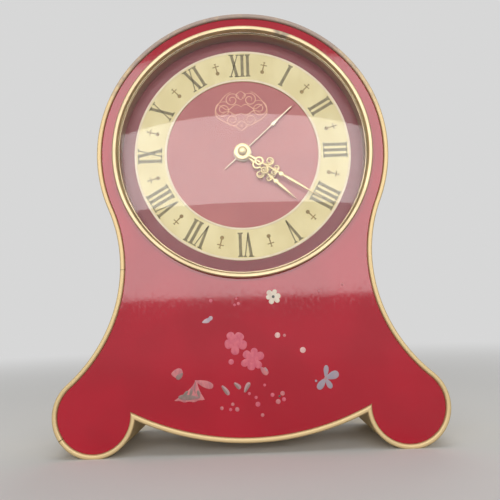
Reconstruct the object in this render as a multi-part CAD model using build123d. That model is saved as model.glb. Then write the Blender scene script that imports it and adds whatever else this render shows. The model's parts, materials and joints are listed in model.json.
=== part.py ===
from build123d import *
import math
import os

# A pendulette: a small free-standing alarm clock in a waisted metal case, wound from behind.
# Millimetres, +Z up, dial towards -Y. The origin lies on the surface that the clock stands on,
# under the middle of its outer box. Depths are counted backwards from the rim's front edge.

# Fits
RUN_GAP = 0.05  # radial play of a turning arbor in its hole
SEAT_GAP = 0.02  # radial gap of a piece that is pressed or screwed home
PANEL_GAP = 0.1  # gap between the case band and the panel or the cover inside it
END_PLAY = 0.2  # axial play of a turning piece
PASS_GAP = 0.3  # room between moving pieces that pass each other
OVERRUN = 1.0  # how far a cut runs past the face that it leaves

# Case outline, seen from the front
TOP_RADIUS = 39.6
DIAL_HEIGHT = 79.4
WAIST_RADIUS = 39.6
FOOT_RADIUS = 10.65
FOOT_SPREAD = 40.1  # from the middle plane to the centre of each foot
FOOT_FLAT = 0.25  # how much is filed off under each foot
BELLY_RADIUS = 69.9
BELLY_HEIGHT = 2.6  # lowest point of the belly above the surface

# Case walls
RIM_WIDTH = 1.3
RIM_ROUND = 0.45
RIM_ROUND_STEPS = 3
RIM_PROUD = 0.6  # how far the rim stands in front of the panel
LEDGE_WIDTH = 1.2
LEDGE_THICK = 1.0
PANEL_THICK = 1.0
COVER_THICK = 1.0
BACK_SPACE = 5.8  # between the rear plate and the cover

# Posts and screws that hold the back cover
POST_RADIUS = 2.2
POST_GAP = 0.6  # between an upper post and the ledges and ring beside it
POST_LEVEL_ANGLE = 180.0  # from the middle of the waist's arc, straight to the clock's middle
LOWER_POST_REACH = 14.0  # from the centre of a foot
COVER_SCREW_RADIUS = 0.9
COVER_SCREW_HEAD_RADIUS = 1.9
COVER_SCREW_HEAD_HEIGHT = 1.0
COVER_SCREW_GRIP = 5.0
SCREW_SLOT_WIDTH = 0.5
SCREW_SLOT_DEPTH = 0.45

# Bezel and crystal
PANEL_MARGIN = 3.1  # lacquer that shows between the rim and the bezel
BEZEL_ROUND = 0.75  # from the bezel's outer edge in to its crest
BEZEL_FLANGE = 1.0  # from the bezel's outer edge in to its tube
BEZEL_WALL = 0.8
BEZEL_CREST = 2.05  # crest in front of the panel
BEZEL_SHOULDER = 1.3  # upright outer wall in front of the panel
CRYSTAL_LEDGE = 0.3
CRYSTAL_THICK = 1.2
CRYSTAL_EDGE = 1.2
CRYSTAL_RISE = 3.6
CRYSTAL_SEAT = 0.7  # crystal's back edge behind the rim's front

# Dial
DIAL_LAP = 0.3  # how far the dial runs out past the bezel's tube
DIAL_THICK = 0.7
DIAL_RECESS = 2.6  # dial face behind the panel's back
DIAL_BORE = 2.5
DIAL_FOOT_RADIUS = 0.7
DIAL_FOOT_ANGLES = (95.0, 200.0, 340.0)
DIAL_MARGIN = 3.4  # dial that shows outside the chapter ring
CHAPTER_WIDTH = 8.95
CHAPTER_THICK = 0.4
CHAPTER_CHAMFER = 0.15

# Hands, drawn along +X from their hub
HAND_THICK = 0.3
HAND_GAP = 0.3
HAND_HUB_RADIUS = 2.3
MINUTE_HAND_LAP = 4.15  # how far the minute hand reaches over the chapter ring
HOUR_HAND_SHARE = 0.782  # hour hand's length, as a share of the minute hand's
HAND_SCROLL_SHARE = 0.492  # pierced part of both, as a share of the minute hand
HAND_STEM = 0.75
HAND_SPEAR = 1.0
SPEAR_SWELL_SHARE = 0.18
HAND_BEAD_RADIUS = 0.72
SCROLL_SHARES = ((0.43, 0.0, 0.105), (0.63, 0.118, 0.112), (0.84, 0.062, 0.078))
SCROLL_EYE_SHARE = 0.56  # open part of each curl
ALARM_HAND_GAP = 1.9  # alarm hand's end inside the chapter ring
ALARM_HAND_TAIL = 6.8
ALARM_HAND_WIDTH = 0.55
ALARM_BARB_SHARE = 0.655  # place of the barb along the alarm hand
ALARM_BARB_LENGTH = 2.0
ALARM_BARB_WIDTH = 1.5
ALARM_HUB_RADIUS = 2.5
MINUTE_HAND_ANGLE = -33.0
HOUR_HAND_ANGLE = -44.0
ALARM_HAND_ANGLE = 42.5
HAND_CAP_RADIUS = 1.4
HAND_CAP_HEIGHT = 1.0
HAND_CAP_PLUG = 0.9

# Toothed wheels
PRESSURE_ANGLE = 25.0
ADDENDUM_SHARE = 0.65
DEDENDUM_SHARE = 0.95
TOOTH_SHARE = 0.42  # tooth thickness as a share of the pitch

# Motion work behind the dial
MOTION_MODULE = 0.36
MOTION_THICK = 0.9
MOTION_GAP = 0.6
CANNON_TEETH = 10
MINUTE_TEETH = 30
MINUTE_PINION_TEETH = 8
HOUR_TEETH = 32
SET_TEETH = 12
ALARM_TEETH = 48
MINUTE_WHEEL_ANGLE = 150.0
SET_ANGLE = 150.0
ALARM_SET_ANGLE = 270.0
CENTRE_ARBOR_RADIUS = 0.6
CANNON_RADIUS = 1.0
HOUR_PIPE_RADIUS = 1.45
ALARM_PIPE_RADIUS = 2.0
STUD_RADIUS = 0.8
STUD_HEAD_RADIUS = 1.3
STUD_HEAD_HEIGHT = 0.25
SET_ARBOR_RADIUS = 0.6

# Plates of the movement
PLATE_MARGIN = 0.4  # front plate's edge inside the ring's
REAR_PLATE_RADIUS = 28.5
PLATE_THICK = 1.6
PLATE_SPACE = 14.0
PILLAR_RADIUS = 1.8
PILLAR_RING_RADIUS = 26.0
PILLAR_ANGLES = (35.0, 140.0, 240.0, 306.0)
PILLAR_SCREW_RADIUS = 0.8
PILLAR_SCREW_HEAD_RADIUS = 1.7
PILLAR_SCREW_HEAD_HEIGHT = 1.0
PILLAR_SCREW_GRIP = 4.0
RING_GAP = 0.4  # between the dial and the ring round it
RING_WALL = 1.9
RING_SCREW_ANGLES = (30.0, 150.0, 270.0)
RING_SCREW_RADIUS = 0.6
RING_SCREW_HEAD_RADIUS = 1.0
RING_SCREW_HEAD_HEIGHT = 0.8
RING_SCREW_GRIP = 4.0

# Going train, front to back between the plates
BARREL_MODULE = 0.5
BARREL_TEETH = 48
CENTRE_PINION_TEETH = 8
CENTRE_MODULE = 0.4
CENTRE_TEETH = 48
THIRD_PINION_TEETH = 8
THIRD_MODULE = 0.32
THIRD_TEETH = 48
FOURTH_PINION_TEETH = 6
FOURTH_MODULE = 0.24
FOURTH_TEETH = 60
ESCAPE_PINION_TEETH = 6
ESCAPE_TEETH = 15
ESCAPE_RADIUS = 4.2
TIME_BARREL_ANGLE = 205.0
THIRD_ANGLE = 90.0
FOURTH_ANGLE = 155.0
ESCAPE_ANGLE = 60.0
LEVER_ANGLE = -10.0
TRAIN_ARBOR_RADIUS = 0.55
PIVOT_RADIUS = 0.3
WHEEL_THICK = 0.7
WHEEL_RIM = 1.2
WHEEL_HUB_RADIUS = 2.1
WHEEL_SPOKE = 1.0
SPOKES = 4
PINION_OVERHANG = 0.3  # how far a pinion runs past the wheel that it meets
CENTRE_WHEEL_SET = 0.9  # behind the front plate
BARREL_SET = 0.7  # behind the centre wheel
FOURTH_WHEEL_SET = 0.9  # behind the barrel's face
BALANCE_SET = 4.8  # behind the front plate
ESCAPE_SET = 7.3  # behind the front plate
THIRD_WHEEL_SET = 11.1  # behind the front plate

# Spring barrels, arbors, ratchets and keys
BARREL_LENGTH = 9.8
BARREL_RADIUS = 10.6
BARREL_WALL = 0.8
BARREL_FLOOR = 1.2
GREAT_WHEEL_THICK = 1.6
BARREL_LID = 0.8
BARREL_ARBOR_RADIUS = 1.4
BARREL_CORE_RADIUS = 2.6
SPRING_THICK = 0.5
SPRING_TURNS = 4
RATCHET_TEETH = 20
RATCHET_RADIUS = 5.0
RATCHET_TOOTH = 0.7
RATCHET_THICK = 1.2
RATCHET_LEAN_SHARE = 1.0  # how far a ratchet tooth leans, as a share of the pitch
CLICK_REACH = 7.4  # from the barrel arbor to the click's stud
CLICK_STUD_RADIUS = 0.8
CLICK_BOSS_RADIUS = 1.5
CLICK_BAR = 0.9
CLICK_LENGTH = 5.0
CLICK_BAR_ANGLE = 129.0  # direction of the click's bar, from the outward line
TIME_CLICK_ANGLE = 200.0
ALARM_CLICK_ANGLE = -20.0
CLICK_STUD_HEAD_RADIUS = 1.3
CLICK_STUD_HEAD_HEIGHT = 0.5
KEY_HUB_RADIUS = 2.5
KEY_HUB_LENGTH = 7.5
KEY_BORE_LENGTH = 5.0
KEY_SPAN = 17.0
KEY_LOBE_RADIUS = 3.7
KEY_LOBE_HOLE = 1.5
KEY_LOBE_RISE = 6.0  # centre of the lobes above the hub's end by the cover
KEY_THICK = 1.5
COVER_GAP = 0.8  # between the cover and what turns behind it

# Escapement and balance
ESCAPE_TOOTH_SHARE = 0.26  # depth of an escape tooth, as a share of its wheel
ESCAPE_LEAN_SHARE = 0.35  # how far an escape tooth leans, as a share of the pitch
LEVER_LENGTH = 8.4  # lever arbor to balance staff
LEVER_THICK = 0.6
LEVER_BAR = 0.8
LEVER_BOSS_RADIUS = 0.9
PALLET_WIDTH = 0.6
PALLET_LENGTH = 1.0
PALLET_ANGLE = 30.0
FORK_GAP = 1.3  # fork's end short of the balance staff
FORK_WIDTH = 1.4
FORK_NOTCH = 0.5
BALANCE_RADIUS = 7.4
BALANCE_RIM = 1.2
BALANCE_THICK = 1.3
BALANCE_ARM = 1.1
ROLLER_RADIUS = 1.0
ROLLER_THICK = 0.4
STAFF_RADIUS = 0.5
HAIRSPRING_SET = 9.5  # behind the front plate
HAIRSPRING_WIDTH = 0.8
HAIRSPRING_THICK = 0.18
HAIRSPRING_RADIUS = 4.3
HAIRSPRING_TURNS = 4
COLLET_RADIUS = 1.0
BALANCE_OPENING = 5.4
HAIR_STUD_RADIUS = 0.45
HAIR_STUD_ANGLE = 60.0
COCK_WIDTH = 5.4
COCK_SCREW_REACH = 7.2
COCK_BOSS_RADIUS = 1.3
COCK_SCREW_RADIUS = 0.7
COCK_SCREW_HEAD_RADIUS = 1.4
COCK_SCREW_HEAD_HEIGHT = 0.8
REGULATOR_THICK = 0.7
REGULATOR_RING = 1.0
REGULATOR_REACH = 9.0
REGULATOR_BAR = 1.3
REGULATOR_PIN_RADIUS = 0.7
REGULATOR_PIN_PROUD = 1.2
REGULATOR_ANGLE = 100.0
REGULATOR_SWING_ANGLE = 20.0
REGULATOR_SPARE_ANGLE = 3.0

# Alarm train
ALARM_BARREL_DISTANCE = 15.0
ALARM_BARREL_ANGLE = -25.0
ALARM_SECOND_TEETH = 40
ALARM_SECOND_PINION_TEETH = 8
ALARM_SECOND_MODULE = 0.3
ALARM_SECOND_ANGLE = -120.0
ALARM_SECOND_SET = 0.6  # in front of the rear plate
ALARM_ESCAPE_TEETH = 12
ALARM_ESCAPE_PINION_TEETH = 6
ALARM_ESCAPE_RADIUS = 3.6
ALARM_ESCAPE_ANGLE = -160.0
HAMMER_ANGLE = -170.0
HAMMER_LENGTH = 5.0
HAMMER_ARM_ANGLE = -95.0
HAMMER_BAR = 1.0
HAMMER_HEAD_RADIUS = 1.6
HAMMER_HEAD_LENGTH = 4.0
HAMMER_SWING_ANGLE = 6.0
GONG_RADIUS = 1.2
GONG_LENGTH = 9.0

# Knobs and the alarm stop on the back
KNOB_RADIUS = 3.7
KNOB_THICK = 4.0
KNOB_FLUTES = 12
KNOB_FLUTE_RADIUS = 0.45
KNOB_BORE_LENGTH = 3.0
ARBOR_HOLE_GAP = 0.5
STOP_DROP = 24.0  # alarm stop below the dial's centre
STOP_TRAVEL = 5.0
STOP_STEM = 2.4
STOP_BUTTON_WIDTH = 4.6
STOP_BUTTON_HEIGHT = 6.4
STOP_BUTTON_THICK = 2.2
STOP_PLATE_WIDTH = 5.0
STOP_PLATE_HEIGHT = 12.4
STOP_PLATE_THICK = 0.8

# Sizes round the dial, from the top of the case inwards
BEZEL_RADIUS = TOP_RADIUS - RIM_WIDTH - PANEL_MARGIN
BEZEL_CREST_RADIUS = BEZEL_RADIUS - BEZEL_ROUND
BEZEL_TUBE_RADIUS = BEZEL_RADIUS - BEZEL_FLANGE
BEZEL_TUBE_BORE = BEZEL_TUBE_RADIUS - BEZEL_WALL
CRYSTAL_RADIUS = BEZEL_TUBE_BORE + CRYSTAL_LEDGE
DIAL_RADIUS = BEZEL_TUBE_RADIUS + DIAL_LAP
CHAPTER_RADIUS = BEZEL_TUBE_BORE - DIAL_MARGIN
CHAPTER_BORE = CHAPTER_RADIUS - CHAPTER_WIDTH
DIAL_FOOT_RING_RADIUS = (CHAPTER_RADIUS + CHAPTER_BORE) / 2
MINUTE_HAND_LENGTH = CHAPTER_BORE + MINUTE_HAND_LAP
HOUR_HAND_LENGTH = MINUTE_HAND_LENGTH * HOUR_HAND_SHARE
HAND_SCROLL = MINUTE_HAND_LENGTH * HAND_SCROLL_SHARE
ALARM_HAND_LENGTH = CHAPTER_BORE - ALARM_HAND_GAP
ALARM_BARB_AT = ALARM_HAND_LENGTH * ALARM_BARB_SHARE
RING_BORE = DIAL_RADIUS + RING_GAP
RING_RADIUS = RING_BORE + RING_WALL
RING_SCREW_RING_RADIUS = (RING_BORE + RING_RADIUS) / 2
FRONT_PLATE_RADIUS = RING_RADIUS - PLATE_MARGIN

# Depths from the front edge of the rim to the back
PANEL_BACK = RIM_PROUD + PANEL_THICK
DIAL_FACE = PANEL_BACK + DIAL_RECESS
DIAL_BACK = DIAL_FACE + DIAL_THICK
HAND_STEP = HAND_THICK + HAND_GAP
ALARM_HAND_FACE = DIAL_FACE - CHAPTER_THICK - HAND_STEP
HOUR_HAND_FACE = ALARM_HAND_FACE - HAND_STEP
MINUTE_HAND_FACE = HOUR_HAND_FACE - HAND_STEP
CRYSTAL_APEX = CRYSTAL_SEAT - CRYSTAL_EDGE - CRYSTAL_RISE
ALARM_WHEEL_FACE = DIAL_BACK + MOTION_GAP
HOUR_WHEEL_FACE = ALARM_WHEEL_FACE + MOTION_THICK + MOTION_GAP
MINUTE_WHEEL_FACE = HOUR_WHEEL_FACE + MOTION_THICK + MOTION_GAP
FRONT_PLATE_FACE = MINUTE_WHEEL_FACE + MOTION_THICK + MOTION_GAP
FRONT_PLATE_BACK = FRONT_PLATE_FACE + PLATE_THICK
CENTRE_WHEEL_FACE = FRONT_PLATE_BACK + CENTRE_WHEEL_SET
BARREL_FACE = CENTRE_WHEEL_FACE + WHEEL_THICK + BARREL_SET
BARREL_BACK = BARREL_FACE + BARREL_LENGTH
LID_FACE = BARREL_BACK - BARREL_LID
FOURTH_WHEEL_FACE = BARREL_FACE + FOURTH_WHEEL_SET
BALANCE_FACE = FRONT_PLATE_BACK + BALANCE_SET
ESCAPE_FACE = FRONT_PLATE_BACK + ESCAPE_SET
THIRD_WHEEL_FACE = FRONT_PLATE_BACK + THIRD_WHEEL_SET
HAIRSPRING_FACE = FRONT_PLATE_BACK + HAIRSPRING_SET
REAR_PLATE_FACE = FRONT_PLATE_BACK + PLATE_SPACE
REAR_PLATE_BACK = REAR_PLATE_FACE + PLATE_THICK
ALARM_SECOND_FACE = REAR_PLATE_FACE - ALARM_SECOND_SET - WHEEL_THICK
RATCHET_FACE = REAR_PLATE_BACK + END_PLAY
COCK_BACK = REAR_PLATE_BACK + PLATE_THICK
REGULATOR_FACE = COCK_BACK + END_PLAY
COVER_FACE = REAR_PLATE_BACK + BACK_SPACE
CASE_DEPTH = COVER_FACE + COVER_THICK
KNOB_FACE = CASE_DEPTH + COVER_GAP
KEY_END = KNOB_FACE + KEY_LOBE_RISE + KEY_LOBE_RADIUS
FRONT_Y = -(CRYSTAL_APEX + KEY_END) / 2  # puts the origin under the middle of the outer box


def polar(start, distance, angle):
    """Point at a distance and an angle in degrees from a start point, in the front view."""
    turn = math.radians(angle)
    return (start[0] + distance * math.cos(turn), start[1] + distance * math.sin(turn))


def toward(start, end, distance):
    """Point at a distance from start, on the line to end."""
    span = math.dist(start, end)
    return tuple(a + (b - a) * distance / span for a, b in zip(start, end))


def circles_meet(first, first_radius, second, second_radius, side):
    """One of the two points where circles cross, on the given side of the line of centres."""
    span = math.dist(first, second)
    along = (first_radius**2 - second_radius**2 + span**2) / (2 * span)
    aside = side * math.sqrt(first_radius**2 - along**2)
    step = ((second[0] - first[0]) / span, (second[1] - first[1]) / span)
    return (
        first[0] + step[0] * along - step[1] * aside,
        first[1] + step[1] * along + step[0] * aside,
    )


def clear_angle(start, distance, centre, reach):
    """Direction from a start in which a place at a distance is a reach away from a centre."""
    apart = math.dist(start, centre)
    cosine = (apart**2 + distance**2 - reach**2) / (2 * apart * distance)
    straight = math.degrees(math.atan2(centre[1] - start[1], centre[0] - start[0]))
    return straight + math.degrees(math.acos(min(1, cosine)))


def mesh_distance(teeth, other_teeth, module):
    """Distance between the centres of two wheels in mesh."""
    return (teeth + other_teeth) * module / 2


def met_phase(phase, teeth, other_teeth, angle):
    """Phase of a wheel whose gap meets the first wheel's tooth, in a direction from the first."""
    offset = (angle - phase) * teeth / 360
    return angle + 180 + (offset - math.floor(offset) - 0.5) * 360 / other_teeth


# Places in the front view, as (x, z)
CENTRE = (0, DIAL_HEIGHT)
FOOT = (FOOT_SPREAD, FOOT_RADIUS - FOOT_FLAT)
BELLY = (0, BELLY_HEIGHT + BELLY_RADIUS)
WAIST = circles_meet(CENTRE, TOP_RADIUS + WAIST_RADIUS, FOOT, FOOT_RADIUS + WAIST_RADIUS, 1)
MOTION_DISTANCE = mesh_distance(CANNON_TEETH, MINUTE_TEETH, MOTION_MODULE)
HOUR_MODULE = 2 * MOTION_DISTANCE / (MINUTE_PINION_TEETH + HOUR_TEETH)
MINUTE_AT = polar(CENTRE, MOTION_DISTANCE, MINUTE_WHEEL_ANGLE)
SET_AT = polar(MINUTE_AT, mesh_distance(MINUTE_TEETH, SET_TEETH, MOTION_MODULE), SET_ANGLE)
ALARM_SET_DISTANCE = mesh_distance(ALARM_TEETH, SET_TEETH, MOTION_MODULE)
ALARM_SET_AT = polar(CENTRE, ALARM_SET_DISTANCE, ALARM_SET_ANGLE)
BARREL_DISTANCE = mesh_distance(BARREL_TEETH, CENTRE_PINION_TEETH, BARREL_MODULE)
TIME_BARREL_AT = polar(CENTRE, BARREL_DISTANCE, TIME_BARREL_ANGLE)
THIRD_DISTANCE = mesh_distance(CENTRE_TEETH, THIRD_PINION_TEETH, CENTRE_MODULE)
THIRD_AT = polar(CENTRE, THIRD_DISTANCE, THIRD_ANGLE)
FOURTH_DISTANCE = mesh_distance(THIRD_TEETH, FOURTH_PINION_TEETH, THIRD_MODULE)
FOURTH_AT = polar(THIRD_AT, FOURTH_DISTANCE, FOURTH_ANGLE)
ESCAPE_DISTANCE = mesh_distance(FOURTH_TEETH, ESCAPE_PINION_TEETH, FOURTH_MODULE)
ESCAPE_AT = polar(FOURTH_AT, ESCAPE_DISTANCE, ESCAPE_ANGLE)
LEVER_REACH = ESCAPE_RADIUS + PASS_GAP + LEVER_BOSS_RADIUS
LEVER_AT = polar(ESCAPE_AT, LEVER_REACH, LEVER_ANGLE)
BALANCE_AT = polar(LEVER_AT, LEVER_LENGTH, LEVER_ANGLE)
ALARM_BARREL_AT = polar(CENTRE, ALARM_BARREL_DISTANCE, ALARM_BARREL_ANGLE)
SECOND_DISTANCE = mesh_distance(BARREL_TEETH, ALARM_SECOND_PINION_TEETH, BARREL_MODULE)
ALARM_SECOND_AT = polar(ALARM_BARREL_AT, SECOND_DISTANCE, ALARM_SECOND_ANGLE)
ALARM_ESCAPE_DISTANCE = mesh_distance(
    ALARM_SECOND_TEETH, ALARM_ESCAPE_PINION_TEETH, ALARM_SECOND_MODULE
)
ALARM_ESCAPE_AT = polar(ALARM_SECOND_AT, ALARM_ESCAPE_DISTANCE, ALARM_ESCAPE_ANGLE)
HAMMER_REACH = ALARM_ESCAPE_RADIUS + PASS_GAP + LEVER_BOSS_RADIUS
HAMMER_AT = polar(ALARM_ESCAPE_AT, HAMMER_REACH, HAMMER_ANGLE)
HAMMER_HEAD_AT = polar(HAMMER_AT, HAMMER_LENGTH, HAMMER_ARM_ANGLE)
GONG_ROOM = HAMMER_LENGTH * math.radians(HAMMER_SWING_ANGLE) + PASS_GAP
GONG_REACH = HAMMER_HEAD_RADIUS + GONG_RADIUS + GONG_ROOM
GONG_AT = polar(HAMMER_HEAD_AT, GONG_REACH, HAMMER_ARM_ANGLE + 90)
TIME_CLICK_AT = polar(TIME_BARREL_AT, CLICK_REACH, TIME_CLICK_ANGLE)
ALARM_CLICK_AT = polar(ALARM_BARREL_AT, CLICK_REACH, ALARM_CLICK_ANGLE)
REGULATOR_AT = polar(BALANCE_AT, REGULATOR_REACH, REGULATOR_ANGLE)
HAIR_STUD_AT = polar(BALANCE_AT, HAIRSPRING_RADIUS, HAIR_STUD_ANGLE)
STOP_AT = (0, DIAL_HEIGHT - STOP_DROP)
PILLARS_AT = [polar(CENTRE, PILLAR_RING_RADIUS, angle) for angle in PILLAR_ANGLES]
DIAL_FEET_AT = [polar(CENTRE, DIAL_FOOT_RING_RADIUS, angle) for angle in DIAL_FOOT_ANGLES]
RING_SCREWS_AT = [polar(CENTRE, RING_SCREW_RING_RADIUS, angle) for angle in RING_SCREW_ANGLES]
POST_INSET = RIM_WIDTH + LEDGE_WIDTH + POST_GAP + POST_RADIUS
POST_REACH = RING_RADIUS + POST_GAP + POST_RADIUS
POST_CLEAR_ANGLE = clear_angle(WAIST, WAIST_RADIUS + POST_INSET, CENTRE, POST_REACH)
UPPER_POST_ANGLE = max(POST_LEVEL_ANGLE, POST_CLEAR_ANGLE)
UPPER_POST_AT = polar(WAIST, WAIST_RADIUS + POST_INSET, UPPER_POST_ANGLE)
LOWER_POST_AT = toward(FOOT, CENTRE, LOWER_POST_REACH)
POSTS_AT = [(side * x, z) for side in (-1, 1) for x, z in (UPPER_POST_AT, LOWER_POST_AT)]


# Phases that set each tooth in the gap that it meets
CANNON_PHASE = MINUTE_WHEEL_ANGLE
MINUTE_PHASE = met_phase(CANNON_PHASE, CANNON_TEETH, MINUTE_TEETH, MINUTE_WHEEL_ANGLE)
SET_PHASE = met_phase(MINUTE_PHASE, MINUTE_TEETH, SET_TEETH, SET_ANGLE)
MINUTE_PINION_PHASE = MINUTE_WHEEL_ANGLE
HOUR_PHASE = met_phase(
    MINUTE_PINION_PHASE, MINUTE_PINION_TEETH, HOUR_TEETH, MINUTE_WHEEL_ANGLE + 180
)
ALARM_PHASE = ALARM_SET_ANGLE
ALARM_SET_PHASE = met_phase(ALARM_PHASE, ALARM_TEETH, SET_TEETH, ALARM_SET_ANGLE)
TIME_BARREL_PHASE = TIME_BARREL_ANGLE + 180
CENTRE_PINION_PHASE = met_phase(
    TIME_BARREL_PHASE, BARREL_TEETH, CENTRE_PINION_TEETH, TIME_BARREL_ANGLE + 180
)
ALARM_BARREL_PHASE = ALARM_SECOND_ANGLE
SECOND_PINION_PHASE = met_phase(
    ALARM_BARREL_PHASE, BARREL_TEETH, ALARM_SECOND_PINION_TEETH, ALARM_SECOND_ANGLE
)
CENTRE_PHASE = THIRD_ANGLE
THIRD_PINION_PHASE = met_phase(CENTRE_PHASE, CENTRE_TEETH, THIRD_PINION_TEETH, THIRD_ANGLE)
THIRD_PHASE = FOURTH_ANGLE
FOURTH_PINION_PHASE = met_phase(THIRD_PHASE, THIRD_TEETH, FOURTH_PINION_TEETH, FOURTH_ANGLE)
FOURTH_PHASE = ESCAPE_ANGLE
ESCAPE_PINION_PHASE = met_phase(FOURTH_PHASE, FOURTH_TEETH, ESCAPE_PINION_TEETH, ESCAPE_ANGLE)
SECOND_PHASE = ALARM_ESCAPE_ANGLE
ALARM_ESCAPE_PHASE = met_phase(
    SECOND_PHASE, ALARM_SECOND_TEETH, ALARM_ESCAPE_PINION_TEETH, ALARM_ESCAPE_ANGLE
)


# Solids from flat shapes and turned profiles
def facing(depth, at=(0, 0), turn=0.0):
    """Drawing plane that faces the viewer at a depth, centred on a place in the front view."""
    return Plane((at[0], FRONT_Y + depth, at[1]), (1, 0, 0), (0, -1, 0)) * Rot(0, 0, turn)


def slab(shape, front, back, at=(0, 0), turn=0.0):
    """Flat shape given thickness from a front depth to a back depth."""
    return extrude(facing(front, at, turn) * shape, amount=front - back)


def rod(radius, front, back, at):
    """Round bar along the depth."""
    return slab(Circle(radius), front, back, at)


def tube(radius, bore, front, back, at):
    """Round bar with a hole through it."""
    return slab(Circle(radius) - Circle(bore), front, back, at)


def turned(edges, at):
    """Solid turned from a closed profile drawn as (radius, depth)."""
    profile = Plane((at[0], FRONT_Y, at[1])) * make_face(edges)
    return revolve(profile, Axis((at[0], FRONT_Y, at[1]), (0, 1, 0)))


def joined(pieces):
    """One part made of all the pieces."""
    total = pieces[0]
    for piece in pieces[1:]:
        total = total + piece
    return total


def drilled(body, places, radius, front, back):
    """Body with the same round hole at each place."""
    for place in places:
        body = body - rod(radius, front, back, place)
    return body


def screws(places, radius, head_radius, head_height, seat, grip):
    """Slotted screws driven from behind, with their heads seated at one depth."""
    slot = Rectangle(head_radius * 2 + OVERRUN, SCREW_SLOT_WIDTH)
    pieces = []
    for place in places:
        head = rod(head_radius, seat, seat + head_height, place)
        cut = slab(slot, seat + head_height - SCREW_SLOT_DEPTH, seat + head_height + OVERRUN, place)
        pieces.append(head - cut + rod(radius, seat - grip, seat, place))
    return joined(pieces)


# Toothed wheels
def involute(angle):
    """Involute function of an angle in radians."""
    return math.tan(angle) - angle


def toothed(teeth, module, phase):
    """Face of a wheel with straight-flanked teeth laid on an involute, thinned for backlash."""
    pressure = math.radians(PRESSURE_ANGLE)
    pitch_radius = teeth * module / 2
    base_radius = pitch_radius * math.cos(pressure)
    root = pitch_radius - DEDENDUM_SHARE * module
    tip = pitch_radius + ADDENDUM_SHARE * module
    halves = [
        TOOTH_SHARE * math.pi / teeth
        + involute(pressure)
        - involute(math.acos(min(1, base_radius / radius)))
        for radius in (root, tip)
    ]
    corners = ((root, -halves[0]), (tip, -halves[1]), (tip, halves[1]), (root, halves[0]))
    points = []
    for tooth in range(teeth):
        middle = math.radians(phase) + 2 * math.pi * tooth / teeth
        points += [(r * math.cos(middle + a), r * math.sin(middle + a)) for r, a in corners]
    return Polygon(*points, align=None)


def pointed(teeth, tip, root, lean_share):
    """Face of a wheel with pointed teeth that lean forward by a share of their pitch."""
    step = 360 / teeth
    points = []
    for tooth in range(teeth):
        points.append(polar((0, 0), root, tooth * step))
        points.append(polar((0, 0), tip, (tooth + lean_share) * step))
    return Polygon(*points, align=None)


def crossed_out(face, rim_radius):
    """Wheel face with its web cut away between rim, hub and spokes."""
    web = Circle(rim_radius - WHEEL_RIM) - Circle(WHEEL_HUB_RADIUS)
    for spoke in range(SPOKES // 2):
        bar = Rectangle(rim_radius * 2, WHEEL_SPOKE)
        web = web - Rot(0, 0, 180 * 2 * spoke / SPOKES) * bar
    return face - web


def root_radius(teeth, module):
    """Radius at the bottom of a wheel's teeth."""
    return teeth * module / 2 - DEDENDUM_SHARE * module


def arbor(at, radius, pivot):
    """Arbor between the plates, with a thinner pivot in each plate."""
    body = rod(radius, FRONT_PLATE_BACK + END_PLAY, REAR_PLATE_FACE - END_PLAY, at)
    return body + rod(pivot, FRONT_PLATE_FACE, REAR_PLATE_BACK, at)


def train_wheel(at, wheel, wheel_face, pinion, pinion_face, pinion_back):
    """Wheel and pinion on one arbor between the plates."""
    body = arbor(at, TRAIN_ARBOR_RADIUS, PIVOT_RADIUS)
    body = body + slab(wheel, wheel_face, wheel_face + WHEEL_THICK, at)
    return body + slab(pinion, pinion_face, pinion_back, at)


def spiral(inner, outer, turns, thick):
    """Flat spiral strip of half circles, from an inner to an outer radius."""
    step = (outer - inner) / (2 * turns)
    sides = []
    for side in (1, -1):
        edges = []
        for half in range(2 * turns):
            middle = step * (half % 2)
            radius = inner + step * half + side * thick / 2
            up = 1 if half % 2 == 0 else -1
            start = (middle + up * radius, 0)
            end = (middle - up * radius, 0)
            edges.append(ThreePointArc(start, (middle, up * radius), end))
        sides.append(edges)
    caps = [
        Line(sides[0][0] @ 0, sides[1][0] @ 0),
        Line(sides[0][-1] @ 1, sides[1][-1] @ 1),
    ]
    return make_face(sides[0] + sides[1] + caps)


# Case
def case_outline(inset):
    """Outline of the case, drawn a distance inside its outer edge: arcs that meet tangentially."""
    foot_radius = FOOT_RADIUS - inset
    crown = (0, DIAL_HEIGHT + TOP_RADIUS - inset)
    shoulder = toward(CENTRE, WAIST, TOP_RADIUS - inset)
    flank = toward(FOOT, WAIST, foot_radius)
    notch = circles_meet(FOOT, foot_radius, BELLY, BELLY_RADIUS - inset, 1)
    middle = ((shoulder[0] + flank[0]) / 2, (shoulder[1] + flank[1]) / 2)
    waist = toward(WAIST, middle, WAIST_RADIUS + inset)
    flank_angle = math.degrees(math.atan2(flank[1] - FOOT[1], flank[0] - FOOT[0]))
    notch_angle = math.degrees(math.atan2(notch[1] - FOOT[1], notch[0] - FOOT[0]))
    toe_angle = (flank_angle + notch_angle - (360 if notch_angle > flank_angle else 0)) / 2
    toe = polar(FOOT, foot_radius, toe_angle)
    bottom = (0, BELLY_HEIGHT + inset)
    right = [(shoulder, waist, flank), (flank, toe, notch)]
    left = [[(-x, z) for x, z in points] for points in right]
    around = [((-shoulder[0], shoulder[1]), crown, shoulder), ((-notch[0], notch[1]), bottom, notch)]
    return make_face([ThreePointArc(*points) for points in right + left + around])


def rounded_mouth(inset, side):
    """Front end of the outline, drawn in or let out towards the rim's edge as a quarter round."""
    layers = []
    for step in range(RIM_ROUND_STEPS + 1):
        turn = math.pi / 2 * step / RIM_ROUND_STEPS
        depth = RIM_ROUND * (1 - math.cos(turn))
        layers.append(facing(depth) * case_outline(inset + side * RIM_ROUND * (1 - math.sin(turn))))
    return loft(layers, ruled=True)


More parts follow.
